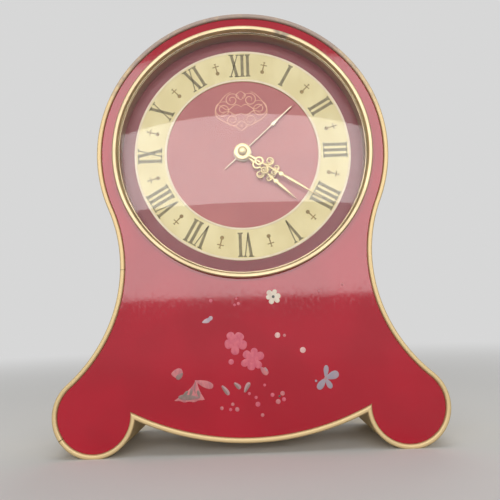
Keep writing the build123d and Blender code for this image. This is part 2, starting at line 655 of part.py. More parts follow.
def case_band():
    """Gilt band round the clock, with a ledge for the panel and one for the cover."""
    wide = case_outline(RIM_WIDTH)
    narrow = case_outline(RIM_WIDTH + LEDGE_WIDTH)
    body = rounded_mouth(0, 1) + slab(case_outline(0), RIM_ROUND, CASE_DEPTH)
    body = body - rounded_mouth(RIM_WIDTH, -1) - slab(wide, RIM_ROUND, PANEL_BACK)
    body = body - slab(narrow, RIM_ROUND, CASE_DEPTH + OVERRUN)
    body = body - slab(wide, PANEL_BACK + LEDGE_THICK, COVER_FACE - LEDGE_THICK)
    body = body - slab(wide, COVER_FACE, CASE_DEPTH + OVERRUN)
    under = Rectangle(FOOT_SPREAD * 4, FOOT_RADIUS, align=(Align.CENTER, Align.MAX))
    return body - slab(under, -OVERRUN, CASE_DEPTH + OVERRUN)


def front_panel():
    """Lacquered panel inside the rim, with the round opening for the bezel."""
    body = slab(case_outline(RIM_WIDTH + PANEL_GAP), RIM_PROUD, PANEL_BACK)
    return body - rod(BEZEL_TUBE_RADIUS + PANEL_GAP, -OVERRUN, PANEL_BACK + OVERRUN, CENTRE)


def back_cover():
    """Flat cover with holes for the arbors, the regulator, the alarm stop and its screws."""
    front = COVER_FACE - OVERRUN
    back = CASE_DEPTH + OVERRUN
    body = slab(case_outline(RIM_WIDTH + PANEL_GAP), COVER_FACE, CASE_DEPTH)
    keys = (TIME_BARREL_AT, ALARM_BARREL_AT)
    body = drilled(body, keys, BARREL_ARBOR_RADIUS + ARBOR_HOLE_GAP, front, back)
    body = drilled(body, (SET_AT, ALARM_SET_AT), SET_ARBOR_RADIUS + ARBOR_HOLE_GAP, front, back)
    body = drilled(body, POSTS_AT, COVER_SCREW_RADIUS + SEAT_GAP, front, back)
    half = REGULATOR_SWING_ANGLE + REGULATOR_SPARE_ANGLE
    ends = [polar((0, 0), REGULATOR_REACH, REGULATOR_ANGLE + half * side) for side in (-1, 0, 1)]
    slot = SlotArc(ThreePointArc(*ends), 2 * (REGULATOR_PIN_RADIUS + ARBOR_HOLE_GAP))
    body = body - slab(slot, front, back, BALANCE_AT)
    stop = Rectangle(
        STOP_STEM + 2 * PASS_GAP,
        STOP_STEM + STOP_TRAVEL + 2 * PASS_GAP,
    )
    return body - slab(stop, front, back, (STOP_AT[0], STOP_AT[1] + STOP_TRAVEL / 2))


def cover_posts():
    """Posts on the panel's back that the cover is screwed to."""
    body = joined([rod(POST_RADIUS, PANEL_BACK, COVER_FACE, place) for place in POSTS_AT])
    depth = COVER_FACE - COVER_SCREW_GRIP - END_PLAY
    return drilled(body, POSTS_AT, COVER_SCREW_RADIUS + SEAT_GAP, depth, COVER_FACE + OVERRUN)


def cover_screws():
    """Screws through the cover into its posts."""
    grip = COVER_SCREW_GRIP + COVER_THICK
    return screws(
        POSTS_AT,
        COVER_SCREW_RADIUS,
        COVER_SCREW_HEAD_RADIUS,
        COVER_SCREW_HEAD_HEIGHT,
        CASE_DEPTH,
        grip,
    )


def bezel():
    """Turned ring on the panel: rounded outside, sloped inside, with a tube down to the dial."""
    lip = CRYSTAL_RADIUS + SEAT_GAP
    mouth = CRYSTAL_SEAT - CRYSTAL_EDGE
    crest = (BEZEL_CREST_RADIUS, RIM_PROUD - BEZEL_CREST)
    shoulder = (BEZEL_RADIUS, RIM_PROUD - BEZEL_SHOULDER)
    edges = [
        Polyline(
            shoulder,
            (BEZEL_RADIUS, RIM_PROUD),
            (BEZEL_TUBE_RADIUS, RIM_PROUD),
            (BEZEL_TUBE_RADIUS, DIAL_FACE),
            (BEZEL_TUBE_BORE, DIAL_FACE),
            (BEZEL_TUBE_BORE, CRYSTAL_SEAT),
            (lip, CRYSTAL_SEAT),
            (lip, mouth),
            crest,
        ),
        TangentArc(shoulder, crest, tangent=(0, -1)),
    ]
    return turned(edges, CENTRE)


def crystal():
    """Domed glass seated in the bezel."""
    rim = CRYSTAL_SEAT - CRYSTAL_EDGE
    outer_radius = (CRYSTAL_RADIUS**2 + CRYSTAL_RISE**2) / (2 * CRYSTAL_RISE)
    inner_radius = outer_radius - CRYSTAL_THICK
    middle = CRYSTAL_APEX + outer_radius
    inner_edge = math.sqrt(inner_radius**2 - (middle - CRYSTAL_SEAT) ** 2)

    def dome(radius, edge):
        """Arc of the dome from its edge to the axis."""
        half = math.asin(edge / radius) / 2
        between = (radius * math.sin(half), middle - radius * math.cos(half))
        return (edge, middle - math.sqrt(radius**2 - edge**2)), between, (0, middle - radius)

    edges = [
        ThreePointArc(*dome(outer_radius, CRYSTAL_RADIUS)),
        ThreePointArc(*dome(inner_radius, inner_edge)),
        Polyline((CRYSTAL_RADIUS, rim), (CRYSTAL_RADIUS, CRYSTAL_SEAT), (inner_edge, CRYSTAL_SEAT)),
        Line((0, CRYSTAL_APEX), (0, CRYSTAL_APEX + CRYSTAL_THICK)),
    ]
    return turned(edges, CENTRE)


# Dial and hands
def dial_plate():
    """Dial with three feet that reach through the front plate."""
    body = tube(DIAL_RADIUS, DIAL_BORE, DIAL_FACE, DIAL_BACK, CENTRE)
    feet = [rod(DIAL_FOOT_RADIUS, DIAL_BACK, FRONT_PLATE_BACK, place) for place in DIAL_FEET_AT]
    return joined([body] + feet)


def chapter_ring():
    """Raised ring that carries the hours."""
    body = tube(CHAPTER_RADIUS, CHAPTER_BORE, DIAL_FACE - CHAPTER_THICK, DIAL_FACE, CENTRE)
    return chamfer(body.edges().group_by(Axis.Y)[0], CHAPTER_CHAMFER)


def scroll_hand(length, bore):
    """Pierced hand along +X: a hub, paired curls and a spear."""
    spear_swell = HAND_SCROLL + (length - HAND_SCROLL) * SPEAR_SWELL_SHARE
    shape = Circle(HAND_HUB_RADIUS)
    stem = Rectangle(HAND_SCROLL, HAND_STEM, align=(Align.MIN, Align.CENTER))
    shape = shape + stem + Pos(HAND_SCROLL, 0) * Circle(HAND_BEAD_RADIUS)
    eyes = Circle(bore)
    for along, aside, radius in SCROLL_SHARES:
        for side in (-1, 1) if aside else (1,):
            place = Pos(along * HAND_SCROLL, side * aside * HAND_SCROLL)
            shape = shape + place * Circle(radius * HAND_SCROLL)
            eyes = eyes + place * Circle(radius * HAND_SCROLL * SCROLL_EYE_SHARE)
    half = HAND_SPEAR / 2
    spear = ((HAND_SCROLL, 0), (spear_swell, -half), (length, 0), (spear_swell, half))
    return shape + Polygon(*spear, align=None) - eyes


def hour_hand():
    """Hour hand on the hour wheel's pipe."""
    shape = scroll_hand(HOUR_HAND_LENGTH, HOUR_PIPE_RADIUS + SEAT_GAP)
    return slab(shape, HOUR_HAND_FACE, HOUR_HAND_FACE + HAND_THICK, CENTRE, HOUR_HAND_ANGLE)


def minute_hand():
    """Minute hand on the cannon pinion's pipe."""
    shape = scroll_hand(MINUTE_HAND_LENGTH, CANNON_RADIUS + SEAT_GAP)
    return slab(shape, MINUTE_HAND_FACE, MINUTE_HAND_FACE + HAND_THICK, CENTRE, MINUTE_HAND_ANGLE)


def alarm_hand():
    """Slim barbed hand that shows the alarm time."""
    half = ALARM_HAND_WIDTH / 2
    bar = ((-ALARM_HAND_TAIL, -half), (ALARM_BARB_AT, -half), (ALARM_HAND_LENGTH, 0))
    bar = bar + ((ALARM_BARB_AT, half), (-ALARM_HAND_TAIL, half))
    barb = (
        (ALARM_BARB_AT, 0),
        (ALARM_BARB_AT - ALARM_BARB_LENGTH / 2, -ALARM_BARB_WIDTH / 2),
        (ALARM_BARB_AT + ALARM_BARB_LENGTH, 0),
        (ALARM_BARB_AT - ALARM_BARB_LENGTH / 2, ALARM_BARB_WIDTH / 2),
    )
    shape = Circle(ALARM_HUB_RADIUS) + Polygon(*bar, align=None) + Polygon(*barb, align=None)
    shape = shape - Circle(ALARM_PIPE_RADIUS + SEAT_GAP)
    return slab(shape, ALARM_HAND_FACE, ALARM_HAND_FACE + HAND_THICK, CENTRE, ALARM_HAND_ANGLE)


def hand_cap():
    """Domed cap pressed into the cannon pinion, over the minute hand's hub."""
    rim = (HAND_CAP_RADIUS, MINUTE_HAND_FACE)
    apex = (0, MINUTE_HAND_FACE - HAND_CAP_HEIGHT)
    plug = CENTRE_ARBOR_RADIUS
    back = MINUTE_HAND_FACE + HAND_CAP_PLUG
    radius = (HAND_CAP_RADIUS**2 + HAND_CAP_HEIGHT**2) / (2 * HAND_CAP_HEIGHT)
    half = math.asin(HAND_CAP_RADIUS / radius) / 2
    between = (radius * math.sin(half), apex[1] + radius - radius * math.cos(half))
    edges = [
        ThreePointArc(rim, between, apex),
        Polyline(apex, (0, back), (plug, back), (plug, MINUTE_HAND_FACE), rim),
    ]
    return turned(edges, CENTRE)


# Motion work
def cannon_pinion():
    """Pinion with a pipe, carried on the centre arbor, that bears the minute hand."""
    back = FRONT_PLATE_FACE - END_PLAY
    body = slab(toothed(CANNON_TEETH, MOTION_MODULE, CANNON_PHASE), MINUTE_WHEEL_FACE, back, CENTRE)
    body = body + rod(CANNON_RADIUS, MINUTE_HAND_FACE, back, CENTRE)
    bore = CENTRE_ARBOR_RADIUS + RUN_GAP
    return body - rod(bore, MINUTE_HAND_FACE - OVERRUN, back + OVERRUN, CENTRE)


def minute_wheel():
    """Wheel and pinion between the cannon pinion and the hour wheel."""
    back = MINUTE_WHEEL_FACE + MOTION_THICK
    body = slab(toothed(MINUTE_TEETH, MOTION_MODULE, MINUTE_PHASE), MINUTE_WHEEL_FACE, back, MINUTE_AT)
    pinion = toothed(MINUTE_PINION_TEETH, HOUR_MODULE, MINUTE_PINION_PHASE)
    body = body + slab(pinion, HOUR_WHEEL_FACE, MINUTE_WHEEL_FACE, MINUTE_AT)
    bore = STUD_RADIUS + RUN_GAP
    return body - rod(bore, HOUR_WHEEL_FACE - OVERRUN, back + OVERRUN, MINUTE_AT)


def minute_wheel_stud():
    """Headed stud in the front plate that the minute wheel turns on."""
    head_back = HOUR_WHEEL_FACE - END_PLAY
    body = rod(STUD_RADIUS, head_back, FRONT_PLATE_BACK, MINUTE_AT)
    return body + rod(STUD_HEAD_RADIUS, head_back - STUD_HEAD_HEIGHT, head_back, MINUTE_AT)


def hour_wheel():
    """Wheel with a pipe round the cannon pinion, which bears the hour hand."""
    back = HOUR_WHEEL_FACE + MOTION_THICK
    body = slab(toothed(HOUR_TEETH, HOUR_MODULE, HOUR_PHASE), HOUR_WHEEL_FACE, back, CENTRE)
    body = body + rod(HOUR_PIPE_RADIUS, HOUR_HAND_FACE, back, CENTRE)
    bore = CANNON_RADIUS + RUN_GAP
    return body - rod(bore, HOUR_HAND_FACE - OVERRUN, back + OVERRUN, CENTRE)


def alarm_wheel():
    """Wheel with a pipe round the hour wheel's, which bears the alarm hand."""
    back = ALARM_WHEEL_FACE + MOTION_THICK
    body = slab(toothed(ALARM_TEETH, MOTION_MODULE, ALARM_PHASE), ALARM_WHEEL_FACE, back, CENTRE)
    body = body + rod(ALARM_PIPE_RADIUS, ALARM_HAND_FACE, back, CENTRE)
    bore = HOUR_PIPE_RADIUS + RUN_GAP
    return body - rod(bore, ALARM_HAND_FACE - OVERRUN, back + OVERRUN, CENTRE)


def setting_arbor(at, pinion, pinion_face):
    """Long arbor from a setting pinion behind the dial to a knob behind the cover."""
    body = rod(SET_ARBOR_RADIUS, pinion_face, KNOB_FACE + KNOB_BORE_LENGTH, at)
    return body + slab(pinion, pinion_face, pinion_face + MOTION_THICK, at)


def set_arbor():
    """Arbor that sets the hands."""
    return setting_arbor(SET_AT, toothed(SET_TEETH, MOTION_MODULE, SET_PHASE), MINUTE_WHEEL_FACE)


def alarm_set_arbor():
    """Arbor that sets the alarm hand."""
    pinion = toothed(SET_TEETH, MOTION_MODULE, ALARM_SET_PHASE)
    return setting_arbor(ALARM_SET_AT, pinion, ALARM_WHEEL_FACE)


def knob(at):
    """Fluted knob on the end of a setting arbor."""
    shape = Circle(KNOB_RADIUS)
    for flute in range(KNOB_FLUTES):
        place = polar((0, 0), KNOB_RADIUS, 360 * flute / KNOB_FLUTES)
        shape = shape - Pos(*place) * Circle(KNOB_FLUTE_RADIUS)
    body = slab(shape, KNOB_FACE, KNOB_FACE + KNOB_THICK, at)
    bore = SET_ARBOR_RADIUS + SEAT_GAP
    return body - rod(bore, KNOB_FACE - OVERRUN, KNOB_FACE + KNOB_BORE_LENGTH, at)


# Plates, pillars and the ring that holds the movement
def pivot_places():
    """Places of the thin pivots that both plates carry."""
    return (THIRD_AT, FOURTH_AT, ESCAPE_AT, LEVER_AT, ALARM_SECOND_AT, ALARM_ESCAPE_AT, HAMMER_AT)


def plate(radius, face):
    """Plate with the bearings that the front and the rear plate have in common."""
    front = face - OVERRUN
    back = face + PLATE_THICK + OVERRUN
    body = rod(radius, face, face + PLATE_THICK, CENTRE)
    barrels = (TIME_BARREL_AT, ALARM_BARREL_AT)
    body = drilled(body, (CENTRE,), CENTRE_ARBOR_RADIUS + RUN_GAP, front, back)
    body = drilled(body, barrels, BARREL_ARBOR_RADIUS + RUN_GAP, front, back)
    body = drilled(body, (SET_AT, ALARM_SET_AT), SET_ARBOR_RADIUS + RUN_GAP, front, back)
    return drilled(body, pivot_places(), PIVOT_RADIUS + RUN_GAP, front, back)


def front_plate():
    """Plate behind the dial, screwed to the ring."""
    front = FRONT_PLATE_FACE - OVERRUN
    back = FRONT_PLATE_BACK + OVERRUN
    body = plate(FRONT_PLATE_RADIUS, FRONT_PLATE_FACE)
    body = drilled(body, (BALANCE_AT,), PIVOT_RADIUS + RUN_GAP, front, back)
    body = drilled(body, (MINUTE_AT,), STUD_RADIUS + SEAT_GAP, front, back)
    body = drilled(body, DIAL_FEET_AT, DIAL_FOOT_RADIUS + SEAT_GAP, front, back)
    return drilled(body, RING_SCREWS_AT, RING_SCREW_RADIUS + SEAT_GAP, front, back)


def rear_plate():
    """Plate at the back of the movement, with the studs of the two clicks."""
    front = REAR_PLATE_FACE - OVERRUN
    back = REAR_PLATE_BACK + OVERRUN
    body = plate(REAR_PLATE_RADIUS, REAR_PLATE_FACE)
    body = drilled(body, (BALANCE_AT,), BALANCE_OPENING, front, back)
    body = drilled(body, PILLARS_AT, PILLAR_SCREW_RADIUS + SEAT_GAP, front, back)
    screw_places = cock_screw_places()
    body = drilled(body, screw_places, COCK_SCREW_RADIUS + SEAT_GAP, front, back)
    head = RATCHET_FACE + RATCHET_THICK + END_PLAY
    for place in (TIME_CLICK_AT, ALARM_CLICK_AT):
        body = body + rod(CLICK_STUD_RADIUS, REAR_PLATE_FACE, head, place)
        body = body + rod(CLICK_STUD_HEAD_RADIUS, head, head + CLICK_STUD_HEAD_HEIGHT, place)
    return body


def plate_pillars():
    """Pillars that hold the plates apart, drilled for their screws."""
    body = joined([rod(PILLAR_RADIUS, FRONT_PLATE_BACK, REAR_PLATE_FACE, at) for at in PILLARS_AT])
    depth = REAR_PLATE_FACE - PILLAR_SCREW_GRIP - END_PLAY
    hole = PILLAR_SCREW_RADIUS + SEAT_GAP
    return drilled(body, PILLARS_AT, hole, depth, REAR_PLATE_FACE + OVERRUN)


def pillar_screws():
    """Screws through the rear plate into the pillars."""
    return screws(
        PILLARS_AT,
        PILLAR_SCREW_RADIUS,
        PILLAR_SCREW_HEAD_RADIUS,
        PILLAR_SCREW_HEAD_HEIGHT,
        REAR_PLATE_BACK,
        PILLAR_SCREW_GRIP + PLATE_THICK,
    )


def movement_ring():
    """Ring between the panel and the front plate, round the dial."""
    body = tube(RING_RADIUS, RING_BORE, PANEL_BACK, FRONT_PLATE_FACE, CENTRE)
    depth = FRONT_PLATE_FACE - RING_SCREW_GRIP - END_PLAY
    hole = RING_SCREW_RADIUS + SEAT_GAP
    return drilled(body, RING_SCREWS_AT, hole, depth, FRONT_PLATE_FACE + OVERRUN)


def ring_screws():
    """Screws through the front plate into the ring."""
    return screws(
        RING_SCREWS_AT,
        RING_SCREW_RADIUS,
        RING_SCREW_HEAD_RADIUS,
        RING_SCREW_HEAD_HEIGHT,
        FRONT_PLATE_BACK,
        RING_SCREW_GRIP + PLATE_THICK,
    )


# Spring barrels and winding
def barrel(at, phase):
    """Toothed drum that holds a mainspring."""
    wheel = toothed(BARREL_TEETH, BARREL_MODULE, phase)
    body = slab(wheel, BARREL_FACE, BARREL_FACE + GREAT_WHEEL_THICK, at)
    body = body + rod(BARREL_RADIUS, BARREL_FACE, BARREL_BACK, at)
    hollow = BARREL_RADIUS - BARREL_WALL
    body = body - rod(hollow, BARREL_FACE + BARREL_FLOOR, BARREL_BACK + OVERRUN, at)
    return drilled(body, (at,), BARREL_ARBOR_RADIUS + RUN_GAP, BARREL_FACE - OVERRUN, BARREL_BACK)


def barrel_lid(at):
    """Lid pressed into the back of a barrel."""
    radius = BARREL_RADIUS - BARREL_WALL - SEAT_GAP
    return tube(radius, BARREL_ARBOR_RADIUS + RUN_GAP, LID_FACE, BARREL_BACK, at)


def mainspring(at):
    """Coiled strip inside a barrel, its outer turn against the wall."""
    step_room = SPRING_THICK / 2 + SEAT_GAP
    inner = BARREL_CORE_RADIUS + PASS_GAP + step_room
    turn_room = (BARREL_RADIUS - BARREL_WALL - step_room - inner) * 2 * SPRING_TURNS
    outer = inner + turn_room / (2 * SPRING_TURNS + 1)
    strip = spiral(inner, outer, SPRING_TURNS, SPRING_THICK)
    return slab(strip, BARREL_FACE + BARREL_FLOOR + END_PLAY, LID_FACE - END_PLAY, at)


def barrel_arbor(at):
    """Arbor that winds a mainspring, from the front plate to the key."""
    body = rod(BARREL_ARBOR_RADIUS, FRONT_PLATE_FACE, KNOB_FACE + KEY_BORE_LENGTH, at)
    front = BARREL_FACE + BARREL_FLOOR + END_PLAY
    return body + rod(BARREL_CORE_RADIUS, front, LID_FACE - END_PLAY, at)


def ratchet_wheel(at):
    """Wheel with leaning teeth that holds an arbor wound."""
    root = RATCHET_RADIUS - RATCHET_TOOTH
    shape = pointed(RATCHET_TEETH, RATCHET_RADIUS, root, RATCHET_LEAN_SHARE)
    shape = shape - Circle(BARREL_ARBOR_RADIUS + SEAT_GAP)
    return slab(shape, RATCHET_FACE, RATCHET_FACE + RATCHET_THICK, at)


def click(at, angle):
    """Pawl beside a ratchet wheel, on a stud of the rear plate."""
    bar = Rectangle(CLICK_LENGTH, CLICK_BAR, align=(Align.MIN, Align.CENTER))
    shape = Circle(CLICK_BOSS_RADIUS) + Rot(0, 0, CLICK_BAR_ANGLE) * bar
    shape = shape - Circle(CLICK_STUD_RADIUS + RUN_GAP)
    return slab(shape, RATCHET_FACE, RATCHET_FACE + RATCHET_THICK, at, angle)


def winding_key(at):
    """Key with a round hub and two pierced lobes."""
    face = KNOB_FACE
    body = rod(KEY_HUB_RADIUS, face, face + KEY_HUB_LENGTH, at)
    reach = KEY_SPAN / 2 - KEY_LOBE_RADIUS
    rise = face + KEY_LOBE_RISE
    wing = Rectangle(2 * reach, KEY_LOBE_RADIUS * 2)
    for side in (-1, 1):
        wing = wing + Pos(side * reach, 0) * Circle(KEY_LOBE_RADIUS)
    for side in (-1, 1):
        wing = wing - Pos(side * reach, 0) * Circle(KEY_LOBE_HOLE)
    across = Plane((at[0], FRONT_Y + rise, at[1] - KEY_THICK / 2))
    body = body + extrude(across * wing, amount=KEY_THICK)
    bore = BARREL_ARBOR_RADIUS + SEAT_GAP
    return body - rod(bore, face - OVERRUN, face + KEY_BORE_LENGTH, at)


# Going train
def centre_wheel():
    """Wheel that turns once an hour, driven by the barrel, with the arbor of the minute hand."""
    wheel = toothed(CENTRE_TEETH, CENTRE_MODULE, CENTRE_PHASE)
    wheel = crossed_out(wheel, root_radius(CENTRE_TEETH, CENTRE_MODULE))
    pinion = toothed(CENTRE_PINION_TEETH, BARREL_MODULE, CENTRE_PINION_PHASE)
    wheel_back = CENTRE_WHEEL_FACE + WHEEL_THICK
    back = BARREL_FACE + GREAT_WHEEL_THICK + PINION_OVERHANG
    front = MINUTE_HAND_FACE + HAND_CAP_PLUG + END_PLAY
    body = rod(CENTRE_ARBOR_RADIUS, front, REAR_PLATE_BACK, CENTRE)
    body = body + slab(wheel, CENTRE_WHEEL_FACE, wheel_back, CENTRE)
    return body + slab(pinion, wheel_back, back, CENTRE)


def third_wheel():
    """Wheel between the centre and the fourth wheel."""
    wheel = toothed(THIRD_TEETH, THIRD_MODULE, THIRD_PHASE)
    wheel = crossed_out(wheel, root_radius(THIRD_TEETH, THIRD_MODULE))
    pinion = toothed(THIRD_PINION_TEETH, CENTRE_MODULE, THIRD_PINION_PHASE)
    front = CENTRE_WHEEL_FACE - PINION_OVERHANG
    back = CENTRE_WHEEL_FACE + WHEEL_THICK + PINION_OVERHANG
    return train_wheel(THIRD_AT, wheel, THIRD_WHEEL_FACE, pinion, front, back)


def fourth_wheel():
    """Wheel that drives the escape wheel."""
    wheel = toothed(FOURTH_TEETH, FOURTH_MODULE, FOURTH_PHASE)
    wheel = crossed_out(wheel, root_radius(FOURTH_TEETH, FOURTH_MODULE))
    pinion = toothed(FOURTH_PINION_TEETH, THIRD_MODULE, FOURTH_PINION_PHASE)
    front = THIRD_WHEEL_FACE - PINION_OVERHANG
    back = THIRD_WHEEL_FACE + WHEEL_THICK + PINION_OVERHANG
    return train_wheel(FOURTH_AT, wheel, FOURTH_WHEEL_FACE, pinion, front, back)


def escape_wheel():
    """Wheel with leaning teeth that the lever holds back."""
    root = ESCAPE_RADIUS * (1 - ESCAPE_TOOTH_SHARE)
    wheel = pointed(ESCAPE_TEETH, ESCAPE_RADIUS, root, ESCAPE_LEAN_SHARE)
    pinion = toothed(ESCAPE_PINION_TEETH, FOURTH_MODULE, ESCAPE_PINION_PHASE)
    front = FOURTH_WHEEL_FACE - PINION_OVERHANG
    back = FOURTH_WHEEL_FACE + WHEEL_THICK + PINION_OVERHANG
    return train_wheel(ESCAPE_AT, wheel, ESCAPE_FACE, pinion, front, back)


def anchor(wheel_radius, reach):
    """Boss with two pallets that stand just clear of a wheel, which lies at a reach towards -X."""
    shape = Circle(LEVER_BOSS_RADIUS)
    for side in (-1, 1):
        stone_at = wheel_radius + PASS_GAP + PALLET_LENGTH / 2
        stone = polar((-reach, 0), stone_at, side * PALLET_ANGLE)
        lean = math.degrees(math.atan2(stone[1], stone[0]))
        arm = Rectangle(math.hypot(*stone), PALLET_WIDTH, align=(Align.MIN, Align.CENTER))
        pallet = Rot(0, 0, side * PALLET_ANGLE) * Rectangle(PALLET_LENGTH, PALLET_WIDTH)
        shape = shape + Rot(0, 0, lean) * arm + Pos(*stone) * pallet
    return shape


def pallet_lever():
    """Lever between the escape wheel and the balance, standing clear of both."""
    fork = LEVER_LENGTH - FORK_GAP
    shape = anchor(ESCAPE_RADIUS, LEVER_REACH)
    shape = shape + Rectangle(fork, LEVER_BAR, align=(Align.MIN, Align.CENTER))
    prongs = Pos(fork, 0) * Rectangle(FORK_WIDTH / 2, FORK_WIDTH, align=(Align.MAX, Align.CENTER))
    notch = Pos(fork, 0) * Rectangle(FORK_NOTCH, FORK_NOTCH, align=(Align.MAX, Align.CENTER))
    shape = shape + prongs - notch
    body = arbor(LEVER_AT, TRAIN_ARBOR_RADIUS, PIVOT_RADIUS)
    return body + slab(shape, ESCAPE_FACE, ESCAPE_FACE + LEVER_THICK, LEVER_AT, LEVER_ANGLE)


def balance_wheel():
    """Balance with its staff, roller and the collet of the hairspring."""
    shape = Circle(BALANCE_RADIUS) - Circle(BALANCE_RADIUS - BALANCE_RIM)
    shape = shape + Rectangle(2 * BALANCE_RADIUS - BALANCE_RIM, BALANCE_ARM)
    shape = shape + Circle(BALANCE_ARM)
    back = BALANCE_FACE + BALANCE_THICK
    roller = ESCAPE_FACE - PASS_GAP - ROLLER_THICK
    body = rod(STAFF_RADIUS, FRONT_PLATE_BACK + END_PLAY, REAR_PLATE_BACK - END_PLAY, BALANCE_AT)
    body = body + rod(PIVOT_RADIUS, FRONT_PLATE_FACE, COCK_BACK, BALANCE_AT)
    body = body + slab(shape, BALANCE_FACE, back, BALANCE_AT, LEVER_ANGLE + 90)
    body = body + rod(ROLLER_RADIUS, roller, roller + ROLLER_THICK, BALANCE_AT)
    spring_back = HAIRSPRING_FACE + HAIRSPRING_WIDTH
    return body + rod(COLLET_RADIUS, HAIRSPRING_FACE, spring_back, BALANCE_AT)


def hairspring():
    """Flat spiral spring round the balance staff, held at its outer end."""
    inner = COLLET_RADIUS + RUN_GAP + HAIRSPRING_THICK / 2
    outer = HAIRSPRING_RADIUS - HAIR_STUD_RADIUS - HAIRSPRING_THICK
    strip = spiral(inner, outer, HAIRSPRING_TURNS, HAIRSPRING_THICK)
    back = HAIRSPRING_FACE + HAIRSPRING_WIDTH
    return slab(strip, HAIRSPRING_FACE, back, BALANCE_AT, HAIR_STUD_ANGLE)


def cock_screw_places():
    """Places of the two screws of the balance cock, across the line to the dial's centre."""
    across = math.degrees(math.atan2(BALANCE_AT[1] - CENTRE[1], BALANCE_AT[0] - CENTRE[0])) + 90
    return [polar(BALANCE_AT, COCK_SCREW_REACH, across + half) for half in (0, 180)]


def balance_cock():
    """Bridge over the balance, with a boss for the regulator and the stud of the hairspring."""
    screw_places = cock_screw_places()
    shape = SlotCenterToCenter(2 * COCK_SCREW_REACH, COCK_WIDTH)
    lean = math.degrees(
        math.atan2(screw_places[0][1] - BALANCE_AT[1], screw_places[0][0] - BALANCE_AT[0])
    )
    round_part = Circle(BALANCE_OPENING)
    boss_back = REGULATOR_FACE + REGULATOR_THICK + END_PLAY
    body = slab(shape + round_part, REAR_PLATE_BACK, COCK_BACK, BALANCE_AT, lean)
    body = body + rod(COCK_BOSS_RADIUS, COCK_BACK, boss_back, BALANCE_AT)
    body = body + rod(HAIR_STUD_RADIUS, HAIRSPRING_FACE, REAR_PLATE_BACK, HAIR_STUD_AT)
    front = REAR_PLATE_BACK - OVERRUN
    body = drilled(body, (BALANCE_AT,), PIVOT_RADIUS + RUN_GAP, front, COCK_BACK)
    hole = COCK_SCREW_RADIUS + SEAT_GAP
    return drilled(body, screw_places, hole, front, COCK_BACK + OVERRUN)


def cock_screws():
    """Screws that hold the balance cock on the rear plate."""
    return screws(
        cock_screw_places(),
        COCK_SCREW_RADIUS,
        COCK_SCREW_HEAD_RADIUS,
        COCK_SCREW_HEAD_HEIGHT,
        COCK_BACK,
        2 * PLATE_THICK,
    )


def regulator():
    """Lever on the cock's boss, with a pin that reaches out through the cover."""
    bore = COCK_BOSS_RADIUS + RUN_GAP
    bar = Rectangle(REGULATOR_REACH, REGULATOR_BAR, align=(Align.MIN, Align.CENTER))
    shape = Circle(bore + REGULATOR_RING) + bar
    shape = shape + Pos(REGULATOR_REACH, 0) * Circle(REGULATOR_PIN_RADIUS + RUN_GAP)
    shape = shape - Circle(bore)
    back = REGULATOR_FACE + REGULATOR_THICK
    body = slab(shape, REGULATOR_FACE, back, BALANCE_AT, REGULATOR_ANGLE)
    return body + rod(REGULATOR_PIN_RADIUS, back, CASE_DEPTH + REGULATOR_PIN_PROUD, REGULATOR_AT)


# Alarm work
def alarm_second_wheel():
    """Wheel between the alarm barrel and the alarm's escape wheel."""
    wheel = toothed(ALARM_SECOND_TEETH, ALARM_SECOND_MODULE, SECOND_PHASE)
    wheel = crossed_out(wheel, root_radius(ALARM_SECOND_TEETH, ALARM_SECOND_MODULE))
    pinion = toothed(ALARM_SECOND_PINION_TEETH, BARREL_MODULE, SECOND_PINION_PHASE)
    front = BARREL_FACE - PINION_OVERHANG
    back = BARREL_FACE + GREAT_WHEEL_THICK + PINION_OVERHANG
    return train_wheel(ALARM_SECOND_AT, wheel, ALARM_SECOND_FACE, pinion, front, back)


def alarm_escape_wheel():
    """Wheel that kicks the hammer to and fro."""
    root = ALARM_ESCAPE_RADIUS * (1 - ESCAPE_TOOTH_SHARE)
    wheel = pointed(ALARM_ESCAPE_TEETH, ALARM_ESCAPE_RADIUS, root, ESCAPE_LEAN_SHARE)
    pinion = toothed(ALARM_ESCAPE_PINION_TEETH, ALARM_SECOND_MODULE, ALARM_ESCAPE_PHASE)
    front = ALARM_SECOND_FACE - PINION_OVERHANG
    back = ALARM_SECOND_FACE + WHEEL_THICK + PINION_OVERHANG
    return train_wheel(ALARM_ESCAPE_AT, wheel, ESCAPE_FACE, pinion, front, back)


def alarm_hammer():
    """Hammer on its arbor, with pallets beside the alarm's escape wheel."""
    arm = Rectangle(HAMMER_LENGTH, HAMMER_BAR, align=(Align.MIN, Align.CENTER))
    shape = Rot(0, 0, HAMMER_ANGLE) * anchor(ALARM_ESCAPE_RADIUS, HAMMER_REACH)
    shape = shape + Rot(0, 0, HAMMER_ARM_ANGLE) * arm
    body = arbor(HAMMER_AT, TRAIN_ARBOR_RADIUS, PIVOT_RADIUS)
    body = body + slab(shape, ESCAPE_FACE, ESCAPE_FACE + LEVER_THICK, HAMMER_AT)
    middle = ESCAPE_FACE + LEVER_THICK / 2
    half = HAMMER_HEAD_LENGTH / 2
    return body + rod(HAMMER_HEAD_RADIUS, middle - half, middle + half, HAMMER_HEAD_AT)


def gong_post():
    """Post on the rear plate that the hammer strikes."""
    return rod(GONG_RADIUS, REAR_PLATE_FACE - GONG_LENGTH, REAR_PLATE_FACE, GONG_AT)


